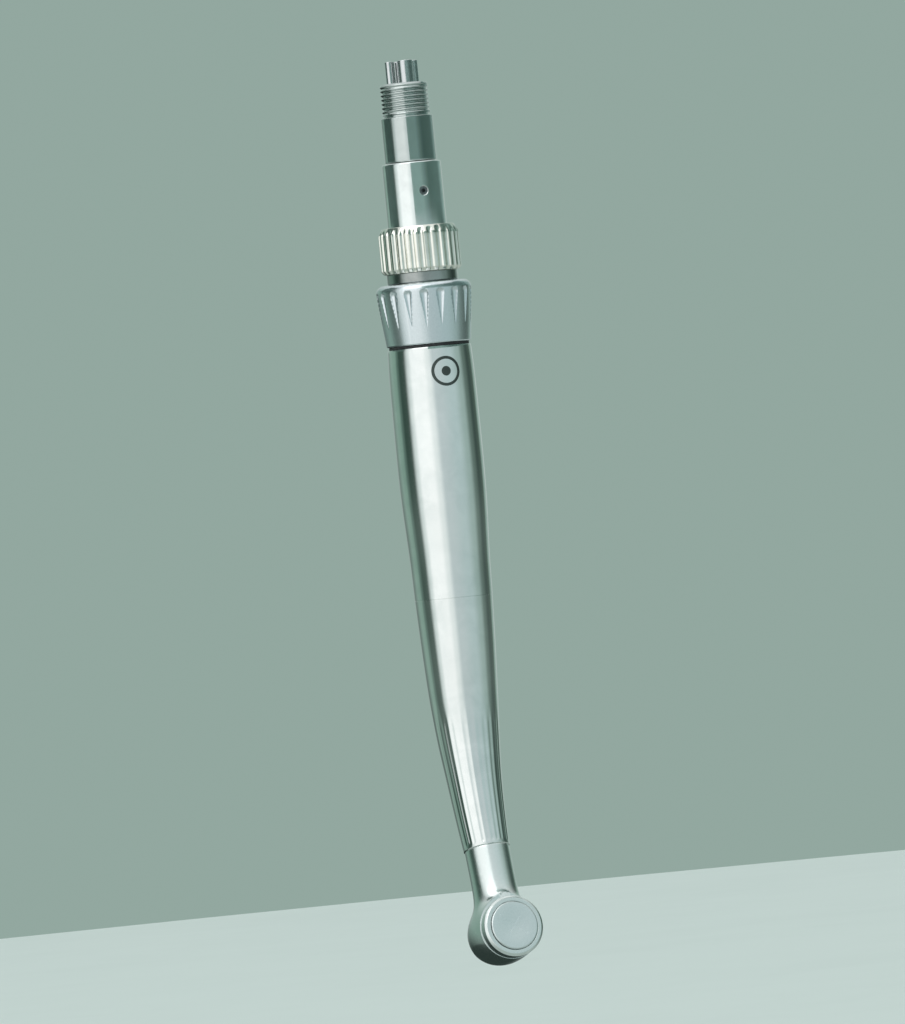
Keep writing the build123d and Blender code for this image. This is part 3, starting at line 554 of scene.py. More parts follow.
CHROME = (0.86, 0.87, 0.86)
CHROME_DULL = (0.74, 0.77, 0.76)
MATERIALS = {
    # The tail's chrome has a darker base colour than the collar's as painted shade: it stands in for the tail
    # lying in shade.
    "tail_chrome": polished("Tail chrome in painted shade", (0.58, 0.62, 0.61), (0.50, 0.54, 0.53), 0.09, lines=3e-7),
    "collar_chrome": polished(
        "Collar chrome", (0.84, 0.87, 0.86), (0.72, 0.75, 0.74), 0.075, lines=3e-7),
    "ring_chrome": polished("Ring chrome", (0.90, 0.89, 0.83), (0.80, 0.79, 0.72), 0.14, smudge=0.9),
    "shell_chrome": etched_chrome("Handle chrome", CHROME, CHROME_DULL, 0.085),
    "grip_satin": satin(
        "Grip satin", (0.78, 0.83, 0.86), (0.68, 0.73, 0.76), (0.86, 0.89, 0.91), 0.22, 0.25),
    "head_satin": satin("Head satin", (0.80, 0.84, 0.83), (0.72, 0.76, 0.75), (0.88, 0.90, 0.89), 0.20),
    "button_satin": satin(
        "Button satin", (0.80, 0.84, 0.84), (0.70, 0.75, 0.75), (0.9, 0.92, 0.92), 0.28),
    "spray_steel": satin(
        "Spray ring steel", (0.60, 0.62, 0.64), (0.50, 0.52, 0.54), (0.8, 0.82, 0.84), 0.25),
    # The spigot's dark base colour is painted shade: it stands in for the shade in the recessed gap between the
    # release ring and the bell.
    "spigot_steel": polished("Spigot steel in painted shade", (0.40, 0.42, 0.41), (0.32, 0.34, 0.33), 0.14, lines=8e-7),
    "liner_steel": polished("Liner steel", (0.62, 0.63, 0.64), (0.52, 0.53, 0.55), 0.18, lines=8e-7),
    "pipe_steel": polished("Pipe steel", (0.70, 0.71, 0.72), (0.60, 0.61, 0.62), 0.16),
    "fastener_steel": satin(
        "Fastener steel", (0.12, 0.125, 0.13), (0.07, 0.07, 0.08), (0.4, 0.41, 0.43), 0.38),
    "spring_steel": polished("Spring steel", (0.52, 0.52, 0.54), (0.42, 0.42, 0.44), 0.2),
    "turbine_steel": polished("Turbine steel", (0.70, 0.71, 0.72), (0.62, 0.63, 0.64), 0.12),
    "race_steel": polished("Race steel", (0.62, 0.63, 0.65), (0.54, 0.55, 0.57), 0.1),
    "rotor_aluminium": satin(
        "Rotor aluminium", (0.78, 0.79, 0.8), (0.68, 0.69, 0.7), (0.9, 0.9, 0.92), 0.3),
    "ball_ceramic": polished("Ball ceramic", (0.10, 0.10, 0.11), (0.07, 0.07, 0.08), 0.12),
    "seal_rubber": rubber("Seal rubber", (0.018, 0.018, 0.02)),
    "cage_resin": resin("Cage resin", (0.36, 0.2, 0.08), (0.22, 0.11, 0.04)),
}

for entry in frame["record"]["subparts"]:
    cad = NODES[entry["node"]]
    cad.data.materials.clear()
    cad.data.materials.append(MATERIALS[entry["material_slot"]])


# ------------------------------------------------------------------ coupler tail
def thread_relief(low, high, pitch, depth):
    """The cut of a rounded screw thread: a cosine wave along a helix, faded at both ends."""
    def relief(angle, radius, height):
        wave = 0.5 - 0.5 * np.cos(2 * np.pi * (height / pitch - angle / (2 * np.pi)))
        fade = np.clip((height - low) / pitch, 0, 1) * np.clip((high - height) / pitch, 0, 1)
        return depth * wave * fade * (radius > 4.0 * MM)
    return relief


def make_tail():
    """The tail tube: hose thread, polished barrel with soft edges, and the hidden stem."""
    foot = level("coupler_tail", 0)
    barrel = half_width("coupler_tail")
    barrel_foot = level("coupler_collar", 1) + 0.1 * MM
    thread_r = frame["record"]["mounts"][0]["dims"]["r_mm"] * MM
    thread_foot = -6.0 * MM
    stem = 3.0 * MM
    corners = [
        (0, 0, 0), (thread_r - 0.3 * MM, 0, 0.15), (thread_r, -0.4 * MM, 0.1),
        (thread_r, thread_foot + 0.5 * MM, 0), (thread_r - 0.35 * MM, thread_foot + 0.35 * MM, 0.05),
        (thread_r - 0.35 * MM, thread_foot, 0.08), (barrel, thread_foot, 0.18),
        (barrel, barrel_foot, 0.25), (stem, barrel_foot, 0.1), (stem, foot, 0.3), (0, foot, 0),
    ]
    points = between(outline(corners, closed=False), 0.06 * MM)
    relief = thread_relief(thread_foot + 0.4 * MM, -0.3 * MM, 0.75 * MM, 0.32 * MM)
    mesh = turned_mesh(points, 160, relief=relief)
    add_piece("tail_barrel", mesh, "tail", "tail_chrome", "coupler_tail")


def make_pipe(node):
    """A hose pipe: a thin tube with a softly broken rim."""
    low, high = level(node, 0), level(node, 1)
    outer = half_width(node)
    wall = 0.25 * MM
    corners = [
        (outer, low, 0), (outer, high, 0.1), (outer - wall, high, 0.08), (outer - wall, low, 0),
    ]
    mesh = turned_mesh(outline(corners), 56, off_axis(node))
    add_piece(f"{node}_tube", mesh, "tail", "pipe_steel", node)


# ------------------------------------------------------------------ coupler body
SCREW_AT = np.array([0.0, 0.0, middle_level("collar_set_screw")])
TO_FRONT = (np.array([[1.0, 0, 0], [0, 0, -1.0], [0, 1.0, 0]]), SCREW_AT)


def make_collar():
    """The collar: a polished sleeve with broken edges and a countersunk screw hole at the front."""
    top, foot = level("coupler_collar", 1), level("coupler_collar", 0)
    flange = half_width("coupler_collar")
    outer, bore, lip = 5.25 * MM, 4.2 * MM, 3.06 * MM
    corners = [
        (lip, top, 0.1), (outer, top, 0.32), (outer, foot + 1.0 * MM, 0), (flange, foot + 1.0 * MM, 0.1),
        (flange, foot, 0.1), (bore, foot, 0.05), (bore, top - 1.0 * MM, 0), (lip, top - 1.0 * MM, 0),
    ]
    sleeve = turned_mesh(between(outline(corners), 0.9 * MM), 192)
    hole = 0.77 * MM
    hole_foot, beyond = 3.5 * MM, outer + 0.2 * MM
    sink = [(0, hole_foot, 0), (hole, hole_foot, 0), (hole, outer - 0.12 * MM, 0),
            (hole + 0.35 * MM, beyond, 0), (0, beyond, 0)]
    drill = turned_mesh(outline(sink, closed=False), 48, TO_FRONT)
    mesh = cut_away(sleeve, [drill])
    add_piece("collar_sleeve", mesh, "coupler", "collar_chrome", "coupler_collar")


def make_spigot():
    """The spigot: flange, lands, rubber-ring grooves, cross ports and two air ways in its end."""
    top, foot = level("coupler_spigot", 1), level("coupler_spigot", 0)
    flange_foot = level("grip_ring", 1) + 0.1 * MM
    flange_top = level("release_ring", 0)
    flange = half_width("coupler_spigot")
    land, barrel, boss, shaft = 3.99 * MM, 3.8 * MM, 4.16 * MM, 5.25 * MM
    seal = 0.5 * MM
    collar_foot = level("coupler_collar", 0) - 0.02 * MM
    corners = [(0, top, 0), (boss, top, 0.1), (boss, collar_foot, 0), (shaft, collar_foot, 0.1),
               (shaft, flange_top, 0), (flange, flange_top, 0.15), (flange, flange_foot, 0.15),
               (land, flange_foot, 0)]
    lock_level = middle_level("lock_ring")
    grooves = [(lock_level, 0.4 * MM, 0.35 * MM)]
    for k in (1, 2, 3):
        node = f"spigot_o_ring_{k}"
        grooves.append((middle_level(node), seal + 0.05 * MM, 0.78 * MM))
    land_foot = flange_foot - 2.2 * MM
    corners += [(land, land_foot, 0.08), (barrel, land_foot, 0.05)]
    for middle, half, depth in grooves:
        corners += [(barrel, middle + half, 0.07), (barrel - depth, middle + half, 0.05),
                    (barrel - depth, middle - half, 0.05), (barrel, middle - half, 0.07)]
    end_land = foot + 2.2 * MM
    corners += [(barrel, end_land, 0.05), (land, end_land, 0.08), (land, foot + 0.6 * MM, 0.1),
                (land - 0.6 * MM, foot, 0.1), (0, foot, 0)]
    shaft_mesh = turned_mesh(between(outline(corners, closed=False), 0.8 * MM), 144)
    drills = []
    for side in (1, -1):
        way = (np.eye(3), np.array([0.0, side * 1.75 * MM, 0.0]))
        drills.append(plug_mesh(0.85 * MM, foot - 1 * MM, foot + 6 * MM, way))
        port_level = grooves[2][0] + side * 2.3 * MM
        basis = np.array([[0, 0, side * 1.0], [0, 1.0, 0], [-side * 1.0, 0, 0]])
        sideways = (basis, np.array([0, 0, port_level]))
        drills.append(plug_mesh(0.45 * MM, 2.0 * MM, 5.0 * MM, sideways, 32))
    mesh = cut_away(shaft_mesh, drills)
    add_piece("spigot_shaft", mesh, "coupler", "spigot_steel", "coupler_spigot")
    for k in (1, 2, 3):
        node = f"spigot_o_ring_{k}"
        middle = middle_level(node)
        mesh = ring_mesh(half_width(node) - seal, seal, middle)
        add_piece(f"spigot_seal_{k}", mesh, "coupler", "seal_rubber", node)


def make_lock_ring():
    """The split lock ring: a round wire carried along an open arc, with rounded ends."""
    node = "lock_ring"
    wire = 0.5 * (level(node, 1) - level(node, 0))
    height = middle_level(node)
    middle_radius = half_width(node) - wire
    gap = math.radians(40)
    start = 0.5 * (np.pi + gap)
    mesh = wire_mesh(middle_radius, wire, start, 2 * np.pi - gap, (height, height))
    add_piece("snap_wire", mesh, "coupler", "spring_steel", node)


# ------------------------------------------------------------------ release ring
KNURLS = 27
RING_BORE = 5.31 * MM


def make_release_ring():
    """The release ring: rounded grooves cut evenly round a chamfered ring."""
    top, foot = level("release_ring", 1), level("release_ring", 0)
    outer = half_width("release_ring")
    pocket, bore, lip_t = 6.26 * MM, RING_BORE, 1.0 * MM
    corners = [
        (pocket, top, 0.08), (outer - 0.8 * MM, top, 0.2), (outer, top - 1.3 * MM, 0.9),
        (outer, foot + 0.6 * MM, 0.5), (outer - 0.55 * MM, foot, 0.2), (bore, foot, 0.1),
        (bore, foot + lip_t, 0), (pocket, foot + lip_t, 0),
    ]

    def relief(angle, radius, height):
        """A row of grooves, each with the depth of a circle's sagitta, fading into the chamfer."""
        pitch = 2 * np.pi / KNURLS
        across = (np.mod(angle + 0.5 * pitch, pitch) - 0.5 * pitch) * outer
        groove = np.clip(1.0 - (across / (0.5 * MM)) ** 2, 0, 1) ** 0.7 * 0.3 * MM
        off_land = np.abs(across) - 0.5 * pitch * outer
        land = 0.07 * MM * np.clip(off_land / (0.4 * MM), -1, 1) ** 2
        fade = np.clip((top - 0.6 * MM - height) / (0.6 * MM), 0, 1)
        fade = fade * np.clip((height - foot) / (0.5 * MM), 0, 1)
        return (groove + land) * np.sqrt(fade) * (radius > pocket + 0.3 * MM)

    points = between(outline(corners, steps=7), 0.45 * MM)
    mesh = turned_mesh(points, KNURLS * 22, relief=relief)
    add_piece("release_knurl", mesh, "release_ring", "ring_chrome", "release_ring")


def make_ring_cover():
    """The thin cover pressed into the release ring's top, dished a little towards its bore."""
    node = "release_ring_cap"
    top, foot = level(node, 1), level(node, 0)
    outer, bore = half_width(node), RING_BORE
    corners = [(outer, top, 0.08), (bore, top - 0.1 * MM, 0.12), (bore, foot, 0.05), (outer, foot, 0.05)]
    mesh = turned_mesh(outline(corners[::-1]), 160)
    add_piece("ring_cover", mesh, "release_ring", "fastener_steel", node)


# ------------------------------------------------------------------ handpiece, rear
def make_liner():
    """The socket's liner, with its lead-in and the groove for the lock ring."""
    node = "socket_liner"
    top, foot = level(node, 1), level(node, 0)
    outer, bore = half_width(node), 4.05 * MM
    lock_level = middle_level("lock_ring")
    groove, half = 4.31 * MM, 0.47 * MM
    corners = [
        (outer, top, 0.08), (bore + 0.4 * MM, top, 0.1), (bore, top - 0.4 * MM, 0.1),
        (bore, lock_level + half, 0), (groove, lock_level + half, 0), (groove, lock_level - half, 0),
        (bore, lock_level - half, 0), (bore, foot, 0), (outer, foot, 0),
    ]
    mesh = turned_mesh(between(outline(corners), 1.2 * MM), 144)
    add_piece("socket_sleeve", mesh, "handpiece", "liner_steel", node)


FLUTES = 18
SOCKET_WALL_R = 5.42 * MM        # the socket, where the bell, the dark ring and the shell sit


def make_grip():
    """The fluted bell. Each flute is a teardrop: round at its head, narrowing to a point below."""
    node = "grip_ring"
    top, foot = level(node, 1), level(node, 0)
    wide, narrow, bore = half_width(node), 7.55 * MM, SOCKET_WALL_R
    edge = 1.3 * MM
    turn = np.linspace(0, 0.5 * np.pi, 12)
    shoulder = np.stack([wide - edge + edge * np.sin(turn), top - edge + edge * np.cos(turn)], axis=1)
    drop = np.linspace(0, 1, 60)[1:]
    flank_l = top - edge - foot - 0.2 * MM
    flank = np.stack([wide - (wide - narrow) * drop ** 1.15, top - edge - flank_l * drop], axis=1)
    rest = outline([(narrow, foot + 0.2 * MM, 0), (narrow - 0.2 * MM, foot, 0.1), (bore, foot, 0.05),
                    (bore, top, 0.1), (wide - edge - 0.05 * MM, top, 0)])[1:]
    points = between(np.vstack([shoulder, flank, rest]), 0.35 * MM)
    head, length, radius_0, depth = top - 1.3 * MM - 0.8 * MM, 5.9 * MM, 0.78 * MM, 0.42 * MM

    def relief(angle, radius, height):
        """Depth falls from the flute's middle as a circle's sagitta, over a half-width that
        is a circle's at the head and shrinks in a line to nothing at the point."""
        pitch = 2 * np.pi / FLUTES
        across = np.abs(np.mod(angle, pitch) - 0.5 * pitch) * radius
        down = head - height
        narrow_by = np.clip(1 - down / length, 0, 1)
        round_half = np.sqrt(np.clip(radius_0 ** 2 - down ** 2, 0, None))
        half = np.where(down < 0, round_half, radius_0 * narrow_by)
        deep = depth * np.where(down < 0, half / radius_0, narrow_by ** 0.8)
        share = across / np.maximum(half, 1e-7)
        bowl = np.clip(1 - share ** 2, 0, 1)
        return deep * bowl ** 0.75 * (radius > bore + 1.2 * MM)

    mesh = turned_mesh(points, FLUTES * 30, relief=relief)
    add_piece("grip_bell", mesh, "handpiece", "grip_satin", node)


def make_groove_seal_painted_shade():
    """The dark ring in the groove between the bell and the handle, with rounded lips: its black rubber is painted
    shade, standing in for the shadow in that groove.
    """
    node = "seal_ring"
    top, foot = level(node, 1), level(node, 0)
    outer, bore = half_width(node), SOCKET_WALL_R
    corners = [(outer, top, 0.12), (bore, top, 0), (bore, foot, 0), (outer, foot, 0.12)]
    mesh = turned_mesh(outline(corners), 160)
    add_piece("groove_ring_painted_shade", mesh, "handpiece", "seal_rubber", node)


def smooth_through(stations, values, at):
    """A smooth curve through a few stations: a Catmull-Rom spline read at many places."""
    s, v = np.asarray(stations, float), np.asarray(values, float)
    slope = np.gradient(v, s)
    k = np.clip(np.searchsorted(s, at, side="right") - 1, 0, len(s) - 2)
    h = s[k + 1] - s[k]
    t = (at - s[k]) / h
    t2, t3 = t * t, t * t * t
    return ((2 * t3 - 3 * t2 + 1) * v[k] + (t3 - 2 * t2 + t) * h * slope[k]
            + (-2 * t3 + 3 * t2) * v[k + 1] + (t3 - t2) * h * slope[k + 1])


SHELL_TOP = level("rear_shell", 1)
SEAM = level("rear_shell", 0)
SEAM_R = 6.95 * MM
REAR_STATIONS = ((0.0, 7.45), (3.0, 7.58), (12.0, 7.7), (26.0, 7.65), (39.0, 7.1), (44.8, 6.95))


def make_rear_shell():
    """The rear handle shell: a long gentle barrel, with a fine bevel at each end."""
    length = SHELL_TOP - SEAM
    drop = np.linspace(0.25 * MM, length - 0.07 * MM, 110)
    stations = np.array(REAR_STATIONS) * MM
    radius = smooth_through(stations[:, 0] * length / stations[-1, 0], stations[:, 1], drop)
    side = np.stack([radius, SHELL_TOP - drop], axis=1)
    bore, seat = 5.95 * MM, SOCKET_WALL_R
    seat_foot = SHELL_TOP - 9.0 * MM
    rest = [(SEAM_R - 0.07 * MM, SEAM), (bore, SEAM), (bore + 0.3 * MM, SEAM + 12 * MM),
            (bore + 0.3 * MM, seat_foot - 0.8 * MM), (seat, seat_foot), (seat, SHELL_TOP),
            (radius[0] - 0.22 * MM, SHELL_TOP), (radius[0] - 0.06 * MM, SHELL_TOP - 0.07 * MM)]
    points = np.vstack([side, np.array(rest)])
    mesh = turned_mesh(points, 224)
    add_piece("rear_barrel", mesh, "handpiece", "shell_chrome", "rear_shell")


# ------------------------------------------------------------------ handpiece, front
KNEE_DEG = 16.0
STRAIGHT = 14.0 * MM
ARC = 31.4 * MM
FRONT_L = STRAIGHT + ARC
KNEE_R = ARC / math.radians(KNEE_DEG)
FRONT_STATIONS = ((0.0, 6.95), (10.0, 6.55), (24.0, 5.72), (33.0, 4.95), (39.0, 4.55), (45.4, 4.15))
NECK_FLUTES = 30


def centre_line(along):
    """Points and directions of the front shell's centre line: straight down, then a round
    bend towards the cap's side, then straight again."""
    turn = np.clip(along - STRAIGHT, 0, ARC) / KNEE_R
    lead = np.minimum(along, STRAIGHT)
    beyond = np.maximum(along - FRONT_L, 0)
    y = -KNEE_R * (1 - np.cos(turn)) - beyond * np.sin(turn)
    z = SEAM - lead - KNEE_R * np.sin(turn) - beyond * np.cos(turn)
    points = np.stack([np.zeros_like(y), y, z], axis=-1)
    direction = np.stack([np.zeros_like(y), -np.sin(turn), -np.cos(turn)], axis=-1)
    return points, direction


def make_front_shell():
    """The front shell: round sections carried along the bent centre line, with shallow
    lengthwise flutes that fade in past the knee and stop short of the neck's joint."""
    wall = 0.9 * MM
    edge = 0.07 * MM
    along = np.concatenate([[0.0], np.linspace(edge, FRONT_L - edge, 190), [FRONT_L]])
    stations = np.array(FRONT_STATIONS) * MM
    radius = smooth_through(stations[:, 0], stations[:, 1], along)
    radius[[0, -1]] -= edge
    inner_along = along[::-6]
    inner_radius = smooth_through(stations[:, 0], stations[:, 1], inner_along) - wall
    s = np.concatenate([along, inner_along])
    r = np.concatenate([radius, inner_radius])
    outside = np.concatenate([np.ones(len(along)), np.zeros(len(inner_along))])
    columns = NECK_FLUTES * 10
    angle = np.linspace(0, 2 * np.pi, columns, endpoint=False)
    fade_in = np.clip((s - 18.0 * MM) / (5.0 * MM), 0, 1)
    fade_out = np.clip((FRONT_L - 0.5 * MM - s) / (0.3 * MM), 0, 1)
    ripple = 0.5 - 0.5 * np.cos(NECK_FLUTES * angle)
    depth = 0.045 * MM * outside * fade_in * fade_in * fade_out
    r = r[:, None] - depth[:, None] * ripple[None, :] ** 0.8
    points, direction = centre_line(s)
    normal = np.cross(direction, ACROSS)
    ring = (points[:, None, :] + r[..., None] * (np.cos(angle)[None, :, None] * ACROSS
            + np.sin(angle)[None, :, None] * normal[:, None, :]))
    mesh = new_mesh(ring.reshape(-1, 3), [grid_quads(len(s), columns, True, True)])
    add_piece("neck_casing", mesh, "handpiece", "shell_chrome", "front_shell")


# ------------------------------------------------------------------ head
def head_span(node):
    """A head node's lowest and highest level along the head's own axis, and its widest radius."""
    basis, origin = HEAD
    vertices = NODES[node].data.vertices
    points = np.empty(3 * len(vertices))
    vertices.foreach_get("co", points)
    local = (points.reshape(-1, 3) - origin) @ basis
    return local[:, 2].min(), local[:, 2].max(), np.hypot(local[:, 0], local[:, 1]).max()


THIRDS = np.radians((90.0, 210.0, 330.0))
NOSE, RIM = head_span("spray_ring")[0], head_span("rear_outer_race")[1] + 0.02 * MM
NECK_L = 15.4 * MM
NECK_REAR_R, NECK_HEAD_R = 3.95 * MM, 3.7 * MM
PLUG_R, PLUG_L = 2.95 * MM, 6.0 * MM
BELLY = (
    (-5.75, 4.4), (-4.87, 4.845), (-3.94, 5.16), (-2.98, 5.37), (-1.5, 5.55), (0.2, 5.61), (2.0, 5.575),
    (3.9, 5.45),
)


def soft_max(first, second, blend):
    """The larger of two fields, rounded where they are nearly equal."""
    return 0.5 * (first + second + np.sqrt((first - second) ** 2 + blend ** 2))


def head_field(points):
    """How far points of the head's frame lie outside the head body, in metres.

    The drum is a round belly closed by the nose face; the neck is a slim cone with a
    smaller plug behind its shoulder; the two melt together over a millimetre and a half.
    """
    x, y, z = points[..., 0], points[..., 1], points[..., 2]
    around = np.hypot(x, y)
    stations = np.array(BELLY) * MM
    belly = smooth_through(stations[:, 0], stations[:, 1], np.clip(z, stations[0, 0], stations[-1, 0]))
    ends = soft_max(NOSE - z, z - RIM - 0.5 * MM, 0.02 * MM)
    drum = soft_max(0.95 * (around - belly), ends, 0.15 * MM)
    bevel = 0.7071 * (around - 3.9 * MM + NOSE - z)
    drum = soft_max(drum, bevel, 0.1 * MM)
    away = NECK_AWAY @ HEAD[0]
    t = y * away[1] + z * away[2]
    off = np.sqrt(np.maximum(x ** 2 + y ** 2 + z ** 2 - t ** 2, 1e-16))
    radius = NECK_HEAD_R + (NECK_REAR_R - NECK_HEAD_R) * np.clip(t / NECK_L, 0, 1)
    neck = soft_max(soft_max(off - radius, t - NECK_L, 0.12 * MM), -t, 0.2 * MM)
    plug = soft_max(soft_max(off - PLUG_R, t - NECK_L - PLUG_L, 0.1 * MM), -t, 0.2 * MM)
    neck = -soft_max(-neck, -plug, 0.05 * MM)
    return -soft_max(-drum, -neck, 1.5 * MM)


NECK_AWAY = -centre_line(np.array([FRONT_L]))[1][0]


SLIDES = 6


def field_surface(field, low, high, step):
    """The surface where a field is zero, as points and quads.

    Space is split into small cubes. Each cube the surface passes through gets one point,
    each cube edge it crosses gets a quad of the four cubes round it, and the points then
    slide along the field's slope until they lie on the surface.
    """
    axes = [np.arange(a, b + step, step) for a, b in zip(low, high)]
    corner = np.stack(np.meshgrid(*axes, indexing="ij"), axis=-1)
    value = field(corner)
    inside = value < 0
    rows, columns, layers = (size - 1 for size in inside.shape)
    count = sum(inside[i:rows + i, j:columns + j, k:layers + k].astype(int)
                for i in (0, 1) for j in (0, 1) for k in (0, 1))
    crossed = (count > 0) & (count < 8)
    index = np.full(crossed.shape, -1)
    index[crossed] = np.arange(crossed.sum())
    points = corner[:-1, :-1, :-1][crossed] + 0.5 * step
    quads = []
    for axis in range(3):
        one, two = [a for a in range(3) if a != axis]
        first = np.moveaxis(inside, (axis, one, two), (0, 1, 2))
        cells = np.moveaxis(index, (axis, one, two), (0, 1, 2))
        leaving = first[:-1, 1:-1, 1:-1] & ~first[1:, 1:-1, 1:-1]
        entering = ~first[:-1, 1:-1, 1:-1] & first[1:, 1:-1, 1:-1]
        ring = np.stack([cells[:, :-1, :-1], cells[:, 1:, :-1],
                         cells[:, 1:, 1:], cells[:, :-1, 1:]], axis=-1)
        flip = axis == 1
        quads.append(ring[leaving][:, ::-1] if flip else ring[leaving])
        quads.append(ring[entering] if flip else ring[entering][:, ::-1])
    reach = 0.002 * MM
    for _ in range(SLIDES):
        here = field(points)
        rise = [field(points + d) - field(points - d) for d in reach * np.eye(3)]
        slope = np.stack(rise, axis=-1) / (2 * reach)
        move = slope * (here / np.maximum((slope ** 2).sum(axis=-1), 0.05))[:, None]
        points = points - np.clip(move, -0.5 * step, 0.5 * step)
    return points, np.vstack(quads)


def make_head_body():
    """The head and its neck in one, bored for the turbine, the nose and the neck's tubes."""
    away = NECK_AWAY @ HEAD[0]
    reach = away * (NECK_L + PLUG_L)
    low = np.minimum(reach, 0) - np.array((6.5, 6.5, 6.9)) * MM
    high = np.maximum(reach, 0) + np.array((6.5, 4.5, 5.1)) * MM
    points, quads = field_surface(head_field, low, high, 0.17 * MM)
    body = new_mesh(points @ HEAD[0].T + HEAD[1], [quads])
    chamber, seat, nose_hole = 4.26 * MM, 3.195 * MM, 1.8875 * MM
    wheel_foot = head_span("impeller")[0] - 0.2 * MM
    floor = head_span("preload_washer")[0]
    above, below, clear = RIM + 2 * MM, NOSE - 1 * MM, 8 * MM
    inside = [(0, above), (clear, above), (clear, RIM), (chamber, RIM), (chamber, wheel_foot),
              (seat, wheel_foot), (seat, floor), (nose_hole, floor), (nose_hole, below), (0, below)]
    cavity = turned_mesh(np.array(inside), 96, HEAD)
    inner, outer, recess_top = 1.98 * MM, 3.42 * MM, NOSE + 0.7 * MM
    recess = [(inner, below), (outer, below), (outer, recess_top), (inner, recess_top)]
    slot_ring = turned_mesh(np.array(recess), 96, HEAD)
    along = (np.stack([ACROSS, np.cross(NECK_AWAY, ACROSS), NECK_AWAY], axis=1), HEAD_MIDDLE)
    shell_end = NECK_L + PLUG_L + 1 * MM
    bores = [plug_mesh(2.6 * MM, NECK_L, shell_end, along)]
    drive, fine = half_width("drive_air_tube"), half_width("water_tube")
    for off, radius in ((0.0, drive), (1.8 * MM, fine), (-1.8 * MM, fine)):
        place = (along[0], HEAD_MIDDLE + off * ACROSS)
        bores.append(plug_mesh(radius + 0.02 * MM, NECK_L - 5 * MM, shell_end, place, 32))
    mesh = cut_away(body, [cavity, slot_ring, *bores])
    add_piece("head_block", mesh, "handpiece", "head_satin", "head_housing")


def make_cap():
    """The screwed head cap: a rolled bright rim round the button, a lip over it, a skirt inside."""
    low, high, wide = head_span("head_cap")
    lip, web_t = 0.45 * MM, 0.4 * MM
    button = head_span("push_button")
    hole = 4.36 * MM
    recess = button[2] + 0.06 * MM
    web_top = RIM + web_t
    boss = 1.6 * MM
    race = head_span("rear_outer_race")[2] + 0.02 * MM
    skirt = 4.2 * MM
    corners = [
        (hole, high, 0.16), (wide - 0.42 * MM, high, 0.3), (wide, high - 0.42 * MM, 0.3),
        (wide, RIM + 0.02 * MM, 0.06), (skirt, RIM + 0.02 * MM, 0), (skirt, low, 0.08),
        (race, low, 0.08), (race, RIM, 0), (boss, RIM, 0), (boss, web_top, 0),
        (recess, web_top, 0), (recess, high - lip, 0), (hole, high - lip, 0),
    ]
    mesh = turned_mesh(between(outline(corners, steps=8), 0.5 * MM), 192, HEAD)
    add_piece("cap_ring", mesh, "handpiece", "head_satin", "head_cap")


def make_button():
    """The push button: a face dished by an eighth of a millimetre, a soft edge, a flange and a boss."""
    low, high, flange = head_span("push_button")
    face = 4.3 * MM
    flange_top = head_span("head_cap")[1] - 0.51 * MM
    flange_foot = flange_top - 0.35 * MM
    boss = 1.3 * MM
    dish_r = 3.75 * MM
    across = np.linspace(0, dish_r, 40)
    dish = high - 0.14 * MM * (0.5 + 0.5 * np.cos(np.pi * across / dish_r))
    face_points = np.stack([across, dish], axis=1)
    corners = [(dish_r, high, 0), (face, high, 0.3), (face, flange_top, 0), (flange, flange_top, 0.05),
               (flange, flange_foot, 0.05), (boss, flange_foot, 0.1), (boss, low, 0.1), (0, low, 0)]
    rest = outline(corners, steps=9, closed=False)[1:]
    mesh = turned_mesh(between(np.vstack([face_points, rest]), 0.5 * MM), 176, HEAD)
    add_piece("button_face", mesh, "button", "button_satin", "push_button")


def make_springs():
    """The coil under the release ring and the dished washer under the button, each given a mesh of its own."""
    node = "release_spring"
    wire = 0.22 * MM
    low, high = level(node, 0), level(node, 1)
    coils = 4 * 2 * np.pi
    mesh = wire_mesh(half_width(node) - wire, wire, 0.0, coils, (low + wire, high - wire))
    coil = add_piece("ring_coil", mesh, "coupler", "spring_steel", node)
    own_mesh(coil)
    low, high, outer = head_span("button_spring")
    thick, inner = 0.12 * MM, 1.6 * MM
    corners = [(outer, low, 0.02), (outer, low + thick, 0.02), (inner, high, 0.02),
               (inner, high - thick, 0.02)]
    mesh = turned_mesh(outline(corners), 120, HEAD)
    washer = add_piece("button_washer", mesh, "handpiece", "spring_steel", "button_spring")
    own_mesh(washer)


BOX_SIDES = np.array([(0, 1, 3, 2), (4, 6, 7, 5), (0, 4, 5, 1), (2, 3, 7, 6), (0, 2, 6, 4), (1, 5, 7, 3)])


